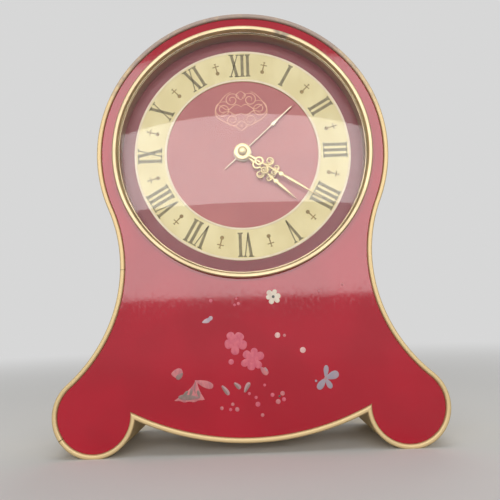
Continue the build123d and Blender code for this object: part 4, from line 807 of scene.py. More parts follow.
@dataclass
class CaseShape:
    """Outline of the case: arcs that meet tangentially, with a sharp notch inside each foot."""

    top_radius: float = 39.6
    dial_height: float = DIAL_HEIGHT
    waist_radius: float = 39.6
    foot_radius: float = 10.65
    foot_spread: float = 40.1
    foot_flat: float = 0.25
    belly_radius: float = 69.9
    belly_height: float = 2.6

    def __post_init__(self) -> None:
        """Finds the centres of the arcs."""
        self.centre: Pair = (0.0, self.dial_height)
        self.foot: Pair = (self.foot_spread, self.foot_radius - self.foot_flat)
        self.belly: Pair = (0.0, self.belly_height + self.belly_radius)
        self.waist = self.meet(self.centre, self.top_radius + self.waist_radius,
                               self.foot, self.foot_radius + self.waist_radius, Side.RIGHT)

    @staticmethod
    def meet(one: Pair, one_radius: float, two: Pair, two_radius: float, side: Side) -> Pair:
        """Finds one of the two points where circles cross.

        Args:
            one: Centre of the first circle.
            one_radius: Its radius.
            two: Centre of the second circle.
            two_radius: Its radius.
            side: Which of the two points, by its x.

        Returns:
            The crossing.
        """
        apart = math.dist(one, two)
        along = (apart**2 + one_radius**2 - two_radius**2) / (2 * apart)
        aside = math.sqrt(one_radius**2 - along**2)
        middle = polar(one, along, bearing(one, two))
        both = [polar(middle, turn * aside, bearing(one, two) + 90) for turn in (-1, 1)]
        return max(both, key=lambda point: point[0] * side.value)

    def outline(self, inset: float) -> list[Pair]:
        """The whole outline, drawn a distance inside the outer edge.

        Args:
            inset: How far inside it is drawn.

        Returns:
            As many points for every inset, anticlockwise from the bottom of the belly.
        """
        foot_radius = self.foot_radius - inset
        notch = self.meet(self.foot, foot_radius, self.belly, self.belly_radius - inset, Side.LEFT)
        flank = bearing(self.foot, self.waist)
        shoulder = bearing(self.waist, self.centre)
        half = arc(self.belly, self.belly_radius - inset, -90, bearing(self.belly, notch), 36)
        half += arc(self.foot, foot_radius, bearing(self.foot, notch) % 360, flank + 360, 84)[1:]
        half += arc(self.waist, self.waist_radius + inset, flank + 180, shoulder, 48)[1:]
        half += arc(self.centre, self.top_radius - inset, bearing(self.centre, self.waist), 90, 64)[1:]
        half = [(x, max(z, 0.0)) for x, z in half]
        return half + [(-x, z) for x, z in half[-2:0:-1]]


@dataclass
class Case:
    """Gilt band, lacquered panel, and the back cover's screws, bead and stamped marks."""

    shape: CaseShape = field(default_factory=CaseShape)
    rim_width: float = 1.3
    rim_round: float = 0.36
    rim_slope: float = 0.5
    rim_proud: float = PANEL_FACE
    panel_gap: float = 0.02
    panel_thick: float = 1.0
    panel_edge: float = 0.05
    panel_hole: float = 34.3
    depth: float = CASE_DEPTH
    back_round: float = 0.3
    back_ease: float = 0.12
    post_inset: float = 5.3  # from the band's outside to a post's axis
    screw_radius: float = 1.9
    screw_height: float = 1.0
    screw_slot: float = 0.5
    slot_depth: float = 0.45
    slot_turn: float = 20.0
    shank_radius: float = 0.9
    shank_length: float = 5.0
    bead_inset: float = 2.6
    bead_width: float = 0.8
    bead_rise: float = 0.25
    stamp_rise: float = 0.03
    key_arrow: float = 10.6
    knob_arrow: float = 5.4
    tip_half: float = 0.8
    tip_run: float = 340 / math.pi  # degrees behind an arrow's end, on a circle of 1 mm
    tip_lead: float = 20.0  # degrees ahead of it
    scale_foot: float = 10.9
    scale_middle: float = 100.0
    scale_step: float = 5.5

    def build(self) -> None:
        """Builds and dresses the whole case."""
        self.band()
        self.panel()
        self.screws()
        self.bead()
        self.stamps()

    def band(self) -> None:
        """Band round the clock, with a flat front rim that is rounded down to the panel."""
        turns = [math.radians(a) for a in range(0, 91, 15)]
        section = [(self.rim_round * (1 - math.cos(t)), self.rim_round * (1 - math.sin(t))) for t in turns]
        section += [(self.rim_width - self.rim_slope * (1 - math.cos(t)), self.rim_proud * (1 - math.sin(t)))
                    for t in turns[::-1]]
        behind, end = self.rim_proud + self.panel_thick / 2, self.depth
        inner = [(self.rim_width, d) for d in (behind, end / 2, end - self.back_ease)]
        back = [(self.rim_width - self.back_ease, end), (self.back_round, end),
                (self.back_round * 0.3, end - self.back_round * 0.3), (0.0, end - self.back_round)]
        outer = [(0.0, d) for d in (end * 0.75, end / 2, end / 4, behind)]
        sketch = Sketch()
        rows = [sketch.add([(x, depth, z) for x, z in self.shape.outline(inset)])
                for inset, depth in section + inner + back + outer]
        sketch.skin(rows, closed=True)
        sketch.piece("band", BAND_GILT, "case", ["case_band"], "gilt", crease=40)

    def panel(self) -> None:
        """Lacquered panel with the round opening for the bezel."""
        sketch = Sketch()
        edge = self.shape.outline(self.rim_width + self.panel_gap)
        hole = circle(self.shape.centre, self.panel_hole)
        sketch.plate([edge, hole], self.rim_proud, self.rim_proud + self.panel_thick, self.panel_edge)
        sketch.piece("panel", RED_LACQUER, "case", ["front_panel"], "red_lacquer", crease=25)

    def posts(self) -> list[Pair]:
        """Finds the four posts that the cover is screwed to.

        Returns:
            Their places in the front view.
        """
        low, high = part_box("cover_screws")
        reach = self.screw_radius
        top, bottom = high.z / MM - reach, low.z / MM + reach
        wide = high.x / MM - reach
        narrow = self.shape.waist[0] - self.shape.waist_radius - self.post_inset
        return [(side.value * x, z) for side in Side for x, z in ((narrow, top), (wide, bottom))]

    def screws(self) -> None:
        """Slotted screws with low domed heads."""
        sketch = Sketch()
        radius, end = self.screw_radius, self.depth - self.shank_length
        top = self.depth + self.screw_height
        floor = top - self.slot_depth
        profile = [(0, end), (self.shank_radius, end), (self.shank_radius, self.depth),
                   (radius, self.depth), (radius, floor), (0, floor)]
        for place in self.posts():
            sketch.lathe(profile, place, 48)
            for side in Side:
                rows = []
                for share, lift in ((1.0, floor), (1.0, top - 0.2), (0.93, top - 0.07), (0.82, top)):
                    start = math.degrees(math.asin(self.screw_slot / 2 / (radius * share)))
                    half = [(side.value * v, side.value * u)
                            for u, v in arc((0, 0), radius * share, start, 180 - start, 24)]
                    rows.append(sketch.add([(x, lift, z) for x, z in placed(half, place, self.slot_turn)]))
                sketch.skin(rows)
                sketch.faces += [rows[0], rows[-1]]
        sketch.piece("screws_of_cover", KEY_BRASS, "case", ["cover_screws"], "gilt", crease=40)

    def bead(self) -> None:
        """Raised bead pressed into the cover, along its edge."""
        sketch = Sketch()
        path = self.shape.outline(self.bead_inset)
        sketch.ribbon(path, self.bead_width, self.depth, -self.bead_rise, closed=True)
        sketch.piece("cover_bead", COVER_GILT, "case")

    def stamps(self) -> None:
        """Stamped marks: ways to wind and turn, and a scale beside the regulator's slot."""
        sketch = Sketch()

        def line(path: Sequence[Pair], width: float) -> None:
            """Stamps a line."""
            sketch.ribbon(path, width, self.depth, -self.stamp_rise)

        def tip(place: Pair, reach: float, degrees: float, way: int) -> None:
            """Stamps an arrow's tip on a circle.

            Args:
                place: The circle's centre.
                reach: The circle's radius.
                degrees: Where the tip is on it.
                way: 1 for anticlockwise, and -1 for clockwise.
            """
            back = degrees - way * self.tip_run / reach
            corners = [polar(place, reach, degrees + way * self.tip_lead / reach)]
            corners += [polar(place, reach + out, back) for out in (self.tip_half, -self.tip_half)]
            sketch.prism(corners, self.depth, self.depth + self.stamp_rise)

        for node in ("time_winding_key", "alarm_winding_key"):
            place = place_of(node)
            line(arc(place, self.key_arrow, 205, 245, 24), 0.5)
            tip(place, self.key_arrow, 254, 1)
        for node in ("set_knob", "alarm_set_knob"):
            place = place_of(node)
            line(arc(place, self.knob_arrow, 58, 122, 24), 0.45)
            tip(place, self.knob_arrow, 140, 1)
            tip(place, self.knob_arrow, 40, -1)
        place = place_of("balance_wheel")
        for number in range(-4, 5):
            turn = self.scale_middle + self.scale_step * number
            ends = (self.scale_foot, 12.0 if number % 4 else 12.6)
            line([polar(place, reach, turn) for reach in ends], 0.3)
        sketch.piece("cover_stamps", STAMPED_BROWN, "case")


@dataclass
class Bezel:
    """Turned ring on the panel and the domed crystal in it."""

    centre: Pair = DIAL_CENTRE
    radius: float = 35.2
    crest_radius: float = 34.45
    crest: float = -1.45
    face_width: float = 0.8
    lean: int = 7
    round_outside: float = 0.45
    round_inside: float = 0.2
    panel_face: float = PANEL_FACE
    tube_radius: float = 34.2
    tube_bore: float = 33.4
    dial_face: float = DIAL_FACE
    glass_radius: float = 33.7
    glass_thick: float = 1.2
    glass_edge: float = 1.2
    glass_rise: float = 3.6
    glass_seat: float = 0.7

    def build(self) -> None:
        """Builds and dresses the ring and the glass."""
        self.ring()
        self.crystal()

    def ring(self) -> None:
        """Ring with a broad face that leans inwards, a round outside and a steep slope down to the glass."""
        lip = self.glass_radius + 0.02
        mouth = self.glass_seat - self.glass_edge

        def rounded(place: Pair, radius: float, start: int, end: int) -> list[Pair]:
            """Points of a rounding about a place, by the direction of its normal from the ring's outside."""
            turns = [math.radians(a) for a in evenly(start, end, 6)]
            return [(place[0] + radius * math.cos(t), place[1] - radius * math.sin(t)) for t in turns]

        outside = (self.radius - self.round_outside, self.crest + self.round_outside)
        inside = (self.crest_radius - self.face_width / 2 + self.round_inside,
                  self.crest + self.round_inside + self.face_width * math.tan(math.radians(self.lean)))
        profile = [(self.radius, self.panel_face)] + rounded(outside, self.round_outside, 0, 90 + self.lean)
        profile += rounded(inside, self.round_inside, 90 + self.lean, 150)
        profile += [(lip + 0.05, mouth - 0.06), (lip, mouth + 0.02), (lip, self.glass_seat)]
        profile += [(self.tube_bore, depth) for depth in (self.glass_seat, self.dial_face)]
        profile += [(self.tube_radius, depth) for depth in (self.dial_face, self.panel_face)]
        sketch = Sketch()
        sketch.lathe(profile, self.centre, RING_STEPS, closed=True)
        sketch.piece("bezel_ring", BEZEL_GILT, "case", ["bezel"], "gilt", crease=40)

    def crystal(self) -> None:
        """Domed glass of even thickness with a short upright edge."""
        rim = self.glass_seat - self.glass_edge
        outer = (self.glass_radius**2 + self.glass_rise**2) / (2 * self.glass_rise)
        inner = outer - self.glass_thick
        middle = rim - self.glass_rise + outer
        inner_edge = math.sqrt(inner**2 - (middle - self.glass_seat) ** 2)

        def dome(radius: float, edge: float) -> list[Pair]:
            """Profile of one side of the dome.

            Args:
                radius: The side's own radius.
                edge: How far it reaches from the axis.

            Returns:
                Points (radius, depth), from the axis to the edge.
            """
            most = math.asin(edge / radius)
            turns = evenly(0, most, 28)
            return [(radius * math.sin(t), middle - radius * math.cos(t)) for t in turns]

        profile = dome(outer, self.glass_radius) + [(self.glass_radius, self.glass_seat)]
        profile += dome(inner, inner_edge)[::-1]
        sketch = Sketch()
        sketch.lathe(profile, self.centre, RING_STEPS)
        glass = sketch.piece("domed_glass", Glass("clear_glass"), "case", ["crystal"], "crystal", crease=50)
        glass.visible_shadow = False
        glass.visible_diffuse = False


class Letter(Enum):
    """Strokes of the three letters that hour numbers need, one unit high, with their width."""

    I = (0.235, (
        ((-0.105, 0), (0.105, 0), (0.105, 0.04), (0.062, 0.075), (0.062, 0.925), (0.105, 0.96), (0.105, 1),
         (-0.105, 1), (-0.105, 0.96), (-0.062, 0.925), (-0.062, 0.075), (-0.105, 0.04)),
    ))
    V = (0.42, (
        ((-0.17, 1), (-0.045, 1), (0.05, 0.16), (0.02, 0), (-0.02, 0)),
        ((0.125, 1), (0.17, 1), (0.03, 0), (-0.01, 0.06)),
        ((-0.22, 1), (-0.22, 0.955), (0.0, 0.955), (0.0, 1)),
        ((0.075, 1), (0.075, 0.955), (0.215, 0.955), (0.215, 1)),
    ))
    X = (0.44, (
        ((-0.18, 1), (-0.055, 1), (0.18, 0), (0.055, 0)),
        ((0.125, 1), (0.17, 1), (-0.125, 0), (-0.17, 0)),
        ((-0.225, 1), (-0.225, 0.955), (-0.01, 0.955), (-0.01, 1)),
        ((0.07, 1), (0.07, 0.955), (0.22, 0.955), (0.22, 1)),
        ((-0.22, 0.045), (-0.22, 0), (-0.07, 0), (-0.07, 0.045)),
        ((0.01, 0.045), (0.01, 0), (0.225, 0), (0.225, 0.045)),
    ))


@dataclass
class Dial:
    """Red dial, raised hour ring with its numbers and marks, and a scroll above the hands."""

    centre: Pair = DIAL_CENTRE
    face: float = DIAL_FACE
    ring_radius: float = 30.0
    ring_bore: float = 21.05
    ring_thick: float = 0.4
    lip: float = 0.6
    lip_rise: float = 0.06
    # size of the pale lines that paint the highlight on the ring's lips
    highlight_half: float = 0.29
    highlight_rise: float = 0.068
    print_thick: float = 0.03
    number_foot: float = 22.35
    number_height: float = 6.7
    mark_foot: float = 24.4
    mark_length: float = 2.9
    mark_ball: float = 0.55
    scroll_height: float = 12.7  # above the dial's centre
    hour_turn: float = -30.0
    hours: tuple[str, ...] = ("XII", "I", "II", "III", "IIII", "V", "VI", "VII", "VIII", "IX", "X", "XI")

    def build(self) -> None:
        """Builds and dresses the dial's face."""
        self.ring()
        self.painted_highlight_lines()
        self.numbers()
        self.marks()
        self.scroll()

    @property
    def print_base(self) -> float:
        """Depth of the ring's face between its lips."""
        return self.face - self.ring_thick + self.lip_rise

    def ring(self) -> None:
        """Ring with a low rounded lip along both edges."""
        base, half = self.print_base, self.lip / 2
        flat = self.lip + 0.1
        profile = [(self.ring_bore, self.face)]
        profile += half_round(self.ring_bore + half, -half, base, self.lip_rise)
        profile += [(self.ring_bore + flat, base), (self.ring_radius - flat, base)]
        profile += half_round(self.ring_radius - half, -half, base, self.lip_rise)
        profile += [(self.ring_radius, self.face)]
        sketch = Sketch()
        sketch.lathe(profile, self.centre, RING_STEPS, closed=True)
        sketch.piece("hour_ring", CREAM_ENAMEL, "case", ["chapter_ring"], "cream_enamel", crease=50)

    def painted_highlight_lines(self) -> None:
        """Pale lines along the ring's edges, a painted highlight on its rounded lips."""
        sketch = Sketch()
        for middle in (self.ring_bore + self.lip / 2, self.ring_radius - self.lip / 2):
            profile = half_round(middle, self.highlight_half, self.print_base, self.highlight_rise)
            sketch.lathe(profile, self.centre, RING_STEPS, closed=True)
        sketch.piece("ring_painted_highlights", HIGHLIGHT_CREAM, "case")

    def numbers(self) -> None:
        """Hour numbers, their feet towards the middle."""
        sketch = Sketch()
        base, height = self.print_base, self.number_height
        for hour, word in enumerate(self.hours):
            letters = [Letter[sign].value for sign in word]
            start = -sum(width for width, _ in letters) / 2
            for width, strokes in letters:
                middle = start + width / 2
                for stroke in strokes:
                    drawn = [((middle + u) * height, self.number_foot + v * height) for u, v in stroke]
                    drawn = placed(drawn, self.centre, self.hour_turn * hour)
                    sketch.prism(drawn, base - self.print_thick, base)
                start += width
        sketch.piece("hour_numbers", HOUR_PRINT, "case")

    def marks(self) -> None:
        """Half-hour marks: a ball, a stem and two bars across it."""
        sketch = Sketch()
        foot, top = self.mark_foot, self.mark_foot + self.mark_length
        ball = circle((0, foot), self.mark_ball, 24)
        bar, tip = top - 0.85, top - 0.02
        strokes = (([(0, foot), (0, top)], (0.38, 0.26)),
                   ([(-0.92, bar), (0.92, bar)], (0.28, 0.28)),
                   ([(-0.3, tip), (0.3, tip)], (0.26, 0.26)))
        for hour in range(12):
            turn = self.hour_turn * (hour + 0.5)
            sketch.dome(placed(ball, self.centre, turn), self.print_base, 0.05)
            for path, width in strokes:
                sketch.ribbon(placed(path, self.centre, turn), width, self.print_base, self.print_thick)
        sketch.piece("half_hour_marks", MARKER_GOLD, "case")

    def scroll(self) -> None:
        """Even-sided flourish of thin looping lines above the hands."""
        sketch = Sketch()
        middle = (self.centre[0], self.centre[1] + self.scroll_height)

        def line(path: Sequence[Pair], side: Side) -> None:
            """Draws one line, thickest half-way.

            Args:
                path: Its points on the right side.
                side: The side that it is drawn on.
            """
            drawn = placed([(side.value * u, v) for u, v in path], middle)
            last = len(drawn) - 1
            widths = [0.13 + 0.14 * math.sin(math.pi * i / last) for i in range(last + 1)]
            sketch.ribbon(drawn, widths, self.face, self.print_thick, across=4)

        def curl(place: Pair, radius: float, start: float, turns: float) -> list[Pair]:
            """Spiral that winds inwards, anticlockwise for a positive number of turns."""
            return spiral(place, (radius, 0.24 * radius), (start, start + 360 * turns), 64)

        loop = [math.pi * i / 60 for i in range(8, 56)]
        long, short = evenly(0, 1, 40), evenly(0, 1, 30)
        paths = (
            curl((2.5, 3.0), 2.1, 175, -1.6),
            curl((5.1, 0.2), 2.5, 120, -1.7),
            curl((2.5, -2.9), 1.9, 150, 1.7),
            [(7.3 * math.sin(t) * (1 - 0.1 * math.sin(2 * t) ** 2),
              5.3 * math.cos(t) + 0.5 * math.sin(3 * t)) for t in loop],
            [(6.2 * s, 0.9 + 0.7 * math.sin(math.pi * 2.4 * s)) for s in long],
            [(5.6 * s, -0.9 - 0.6 * math.sin(math.pi * 2.2 * s)) for s in long],
            [(1.5 * math.sin(math.pi * s) ** 1.5, -3.0 - 3.2 * s) for s in short],
            [(1.3 * math.sin(math.pi * s), 5.6 - 2.6 * s) for s in short],
        )
        for side in Side:
            for path in paths:
                line(path, side)
        sketch.dome(circle((middle[0], middle[1] - 4.6), 0.34, 16), self.face, 0.04)
        sketch.piece("dial_scroll", FLOURISH_GOLD, "case")


@dataclass
class Hands:
    """Pierced hour and minute hands, slim alarm hand and the cap over their hub."""

    centre: Pair = DIAL_CENTRE
    thick: float = 0.3
    minute_face: float = 2.0
    hour_face: float = 2.6
    alarm_face: float = 3.2
    minute_angle: float = -33.0
    hour_angle: float = -44.0
    alarm_angle: float = 42.5
    minute_length: float = 25.2
    hour_length: float = 19.7
    alarm_length: float = 19.15
    alarm_tail: float = 6.8
    alarm_barb: float = 12.5
    pierced: float = 12.4
    hub_radius: float = 2.3
    alarm_hub: float = 2.5
    minute_bore: float = 1.02
    hour_bore: float = 1.47
    alarm_bore: float = 2.02
    ring_round: float = 0.14
    bead_radius: float = 0.72
    cap_radius: float = 1.4
    cap_height: float = 1.0
    cap_collar: float = 0.22
    cap_plug: float = 0.6
    plug_length: float = 0.9

    def build(self) -> None:
        """Builds and dresses the hands and their cap."""
        self.pierced_hand("minute_scroll_hand", "minute_hand", self.minute_length, self.minute_bore,
                          self.minute_face, self.minute_angle)
        self.pierced_hand("hour_scroll_hand", "hour_hand", self.hour_length, self.hour_bore,
                          self.hour_face, self.hour_angle)
        self.barbed_hand()
        self.cap()

    def ring(self, sketch: Sketch, place: Pair, radius: float, bore: float, face: float) -> None:
        """Adds a flat ring with rounded edges.

        Args:
            sketch: The hand that it belongs to.
            place: Its centre in the front view.
            radius: Its outer radius.
            bore: Its inner radius.
            face: Depth of its front.
        """
        middle, half = (radius + bore) / 2, (radius - bore) / 2
        profile = [(radius, face + self.thick)]
        profile += half_round(middle, half, face + self.ring_round, self.ring_round)
        profile += [(bore, face + self.thick)]
        sketch.lathe(profile, place, 64, closed=True)

    def pierced_hand(self, name: str, node: str, length: float, bore: float, face: float,
                     turn: float) -> None:
        """Hand of a hub, curls in pairs, a bead and a spear.

        Args:
            name: The piece's name.
            node: Its CAD node, which names its body too.
            length: From the middle to its tip.
            bore: Radius of the hole in its hub.
            face: Depth of its front.
            turn: Its direction, anticlockwise from the right.
        """
        sketch = Sketch()
        base = face + self.thick
        reach = self.pierced

        def strip(path: Sequence[Pair], width: float | Sequence[float]) -> None:
            """Adds a rounded strip drawn along the hand."""
            sketch.ribbon(placed(path, self.centre, turn), width, base, self.thick)

        self.ring(sketch, self.centre, self.hub_radius, bore, face)
        strip([(self.hub_radius - 0.3, 0), (0.36 * reach, 0)], 0.9)
        eye, bead = placed([(0.43 * reach, 0), (reach, 0)], self.centre, turn)
        self.ring(sketch, eye, 0.105 * reach, 0.06 * reach, face)
        strip([(0.52 * reach, 0), (reach, 0)], (0.6, 0.75))
        for side in Side:
            s = side.value
            strip(spiral((0.63 * reach, s * 0.118 * reach), (0.092 * reach, 0.03 * reach),
                         (s * -90, s * 462), 48), evenly(0.62, 0.38, 48))
            strip(spiral((0.84 * reach, s * 0.062 * reach), (0.063 * reach, 0.027 * reach),
                         (s * -100, s * 380), 40), evenly(0.52, 0.34, 40))
        sketch.lathe([(0, base), (self.bead_radius, base), (self.bead_radius, face + 0.16),
                      (0.55, face + 0.03), (0.3, face), (0, face)], bead, 32)
        swell = reach + (length - reach) * 0.18
        strip([(reach, 0)] + [(u, 0) for u in evenly(swell, length, 12)], [0.4] + evenly(1.0, 0.2, 12))
        sketch.piece(name, HAND_GILT, node, [node], "hands_gilt", crease=50)

    def barbed_hand(self) -> None:
        """Slim hand with a barb, a thicker rod beyond it and a short tail."""
        sketch = Sketch()
        base = self.alarm_face + self.thick
        self.ring(sketch, self.centre, self.alarm_hub, self.alarm_bore, self.alarm_face)
        barb, root = self.alarm_barb, self.alarm_hub - 0.15
        for path, width in (
            ([(-self.alarm_tail, 0), (-root, 0)], (0.34, 0.5)),
            ([(root, 0), (barb + 0.4, 0)], (0.42, 0.42)),
            ([(barb - 1.0, 0), (barb - 0.5, 0), (barb + 0.2, 0), (barb + 2.0, 0)], (1.5, 1.3, 0.95, 0.4)),
            ([(barb + 1.2, 0), (self.alarm_length - 0.4, 0), (self.alarm_length, 0)], (0.55, 0.5, 0.2)),
        ):
            sketch.ribbon(placed(path, self.centre, self.alarm_angle), width, base, self.thick)
        sketch.piece("alarm_barbed_hand", ALARM_GILT, "alarm_hand", ["alarm_hand"], "alarm_hand_pale",
                     crease=50)

    def cap(self) -> None:
        """Domed cap with a fine collar, pressed into the pipe that carries the minute hand."""
        face, neck = self.minute_face, self.cap_radius * 0.9
        foot, rise = face - self.cap_collar, self.cap_height - self.cap_collar
        turns = [math.radians(a) for a in range(9, 91, 9)]
        profile = [(0.0, face - self.cap_height)]
        profile += [(neck * math.sin(t), foot - rise * math.cos(t)) for t in turns]
        profile += [(neck, face - 0.17), (self.cap_radius, face - 0.13), (self.cap_radius, face)]
        end = face + self.plug_length
        profile += [(self.cap_plug, face), (self.cap_plug, end), (0, end)]
        sketch = Sketch()
        sketch.lathe(profile, self.centre, 64)
        sketch.piece("hub_cap", HAND_GILT, "minute_hand", ["hand_cap"], "hands_gilt", crease=40)


def lobes(count: int, radius: float, turn: float) -> tuple[Triple, ...]:
    """Petals of a round blossom, each a little unlike the others.

    Args:
        count: How many petals it has.
        radius: About how long they are.
        turn: Direction of the first one in degrees.

    Returns:
        Direction, length and width of each petal.
    """
    width = 1.22 * radius * math.sin(math.pi / count)
    return tuple((turn + 360 * i / count + 5 * math.cos(1.7 * i + turn),
                  radius * (1 + 0.07 * math.sin(2.3 * i + turn)),
                  width * (1 + 0.08 * math.cos(2.9 * i))) for i in range(count))


@dataclass(frozen=True)
class Bloom:
    """One blossom of the panel's scattered flowers; its petals are direction, length and width."""

    place: Pair
    petals: tuple[Triple, ...]
    tone: Tone
    eye: Tone
    eye_radius: float


@dataclass
class PaintedFlowers:
    """Small flowers, buds, leaves and dots painted on the lower panel."""

    face: float = PANEL_FACE
    rise: float = 0.05
    blooms: tuple[Bloom, ...] = (
        Bloom((6.8, 39.2), lobes(6, 2.0, 10), Tone.WHITE, Tone.DARK, 0.42),
        Bloom((-3.5, 27.6), lobes(5, 3.0, 50), Tone.PINK, Tone.PINK, 0.9),
        Bloom((0.8, 23.3), lobes(6, 3.0, 20), Tone.PINK, Tone.PINK, 1.0),
        Bloom((19.4, 17.9), ((84, 3.3, 1.2), (19, 3.6, 1.9), (232, 3.4, 1.6), (-62, 2.9, 1.3)),
              Tone.BLUE, Tone.LEAF, 0.4),
    )
    dots: tuple[tuple[float, float, float, Tone], ...] = (
        (-3.4, 37.4, 0.35, Tone.PINK), (-2.4, 37.7, 0.42, Tone.PINK), (-2.9, 39.0, 0.3, Tone.PINK),
        (7.5, 29.2, 0.72, Tone.BLUSH), (9.3, 29.1, 0.4, Tone.ROSE), (13.9, 25.2, 0.75, Tone.BLUSH),
        (-4.7, 22.8, 0.7, Tone.PINK), (-7.4, 11.3, 0.45, Tone.ROSE), (2.9, 9.3, 0.45, Tone.ROSE),
        (18.9, 40.2, 0.42, Tone.ROSE), (25.0, 41.8, 0.4, Tone.ROSE), (3.7, 16.7, 0.35, Tone.PINK),
        (1.8, 12.0, 0.62, Tone.PINK), (-0.3, 14.7, 0.38, Tone.PINK), (-9.6, 38.7, 0.45, Tone.PINK),
        (1.4, 13.7, 0.4, Tone.PINK), (5.6, 14.2, 0.5, Tone.PINK), (8.2, 14.5, 0.58, Tone.ROSE),
        (7.0, 12.5, 0.62, Tone.ROSE), (8.5, 13.0, 0.5, Tone.PINK), (7.4, 13.8, 0.28, Tone.DARK),
        (-4.6, 12.2, 0.42, Tone.ROSE), (-5.2, 10.9, 0.4, Tone.PINK), (-3.5, 10.9, 0.55, Tone.ROSE),
        (16.9, 17.3, 0.3, Tone.BLUE),
    )

    def build(self) -> None:
        """Paints every flower."""
        self.blossoms()
        self.scattered()
        self.bell()
        self.leaves()

    @staticmethod
    def petal(length: float, width: float) -> list[Pair]:
        """Outline of a petal along +X, narrow at its foot and round at its end."""
        return [(length * (0.5 - 0.5 * math.cos(t)), width / 2 * math.sin(t) * (1 - 0.42 * math.cos(t)))
                for t in (2 * math.pi * i / 28 for i in range(28))]

    def lay(self, sketch: Sketch, place: Pair, turn: float, length: float, width: float,
            lift: float = 0.0) -> None:
        """Paints one petal or leaf.

        Args:
            sketch: The piece that it belongs to.
            place: Its foot.
            turn: Its direction in degrees.
            length: Its length.
            width: Its width.
            lift: How far it lies on other paint, as a share of the paint's thickness.
        """
        sketch.dome(placed(self.petal(length, width), place, turn), self.face - lift * self.rise, self.rise)

    def blossoms(self) -> None:
        """Blossoms of separate petals round an eye."""
        for number, bloom in enumerate(self.blooms, 1):
            sketch = Sketch()
            for turn, length, width in bloom.petals:
                self.lay(sketch, bloom.place, turn, length, width)
            sketch.piece(f"blossom_{number}", bloom.tone.value, "case")
            eye = Sketch()
            eye.dome(circle(bloom.place, bloom.eye_radius, 20), self.face - self.rise * 0.3, self.rise)
            eye.piece(f"blossom_eye_{number}", bloom.eye.value, "case")

    def scattered(self) -> None:
        """Dots between the flowers."""
        for tone in Tone:
            mine = [(x, z, radius) for x, z, radius, colour in self.dots if colour is tone]
            if mine:
                sketch = Sketch()
                for x, z, radius in mine:
                    sketch.dome(circle((x, z), radius, 20), self.face, self.rise)
                sketch.piece(f"dots_{tone.name.lower()}", tone.value, "case")

    def bell(self) -> None:
        """Bell flower that hangs with a wide wavy hem, one petal thrown back, and a bud beside it."""
        place, hem = (-13.8, 18.5), -4.9
        steps = evenly(0, 1, 16)
        outline = [(-5.4 * s**1.6 - 0.3, hem * s) for s in steps]
        outline += [(-5.7 + 7.6 * s, hem - 0.5 * math.sin(math.pi * s) - 0.12 * math.cos(6 * math.pi * s))
                    for s in steps[1:-1]]
        outline += [(1.9 * s**1.7 + 0.2, hem * s) for s in steps[::-1]]
        flower = Sketch()
        flower.dome(placed(outline, place), self.face, self.rise)
        self.lay(flower, (-13.9, 18.3), -20, 4.7, 1.7)
        self.lay(flower, (-20.2, 20.3), 0, 3.0, 2.5)
        self.lay(flower, (2.8, 21.2), -46, 2.6, 1.4)
        flower.piece("bell_flower", Tone.ROSE.value, "case")
        shade = Sketch()
        self.lay(shade, (-12.9, 14.1), 177, 5.6, 1.3, 0.7)
        folds = (((-17.6, 14.1), 48, 2.4), ((-15.6, 14.0), 74, 2.6), ((-13.0, 14.0), 104, 2.0))
        for place, turn, length in folds:
            self.lay(shade, place, turn, length, 0.7, 0.75)
        self.lay(shade, (-17.2, 20.4), 222, 2.2, 1.2, 0.7)
        crease = [(-14.0, 18.0), (-14.3, 16.6), (-14.1, 15.2)]
        shade.ribbon(crease, (0.16, 0.3, 0.16), self.face - self.rise * 0.8, self.rise)
        shade.piece("bell_shade", Tone.SHADE.value, "case")

    def leaves(self) -> None:
        """Fan of small leaves, each with a darker half, and two loose petals."""
        light, dark = Sketch(), Sketch()
        fan = (((-7.2, 17.0), -55, 3.0), ((-4.0, 17.6), -47, 2.2), ((-1.6, 15.1), 59, 2.8))
        for place, turn, length in fan:
            self.lay(light, place, turn, length, 1.05)
            self.lay(dark, polar(place, 0.25, turn - 90), turn, length * 0.9, 0.55, 0.6)
        self.lay(light, (3.9, 21.2), -70, 1.5, 0.8)
        light.piece("leaves_light", Tone.LEAF.value, "case")
        dark.piece("leaves_dark", Tone.SHADE.value, "case")
        pale = Sketch()
        self.lay(pale, (-12.0, 33.1), 18, 2.2, 1.1)
        self.lay(pale, (-10.6, 33.4), 42, 1.7, 1.0)
        pale.piece("loose_petals", Tone.PALE.value, "case")


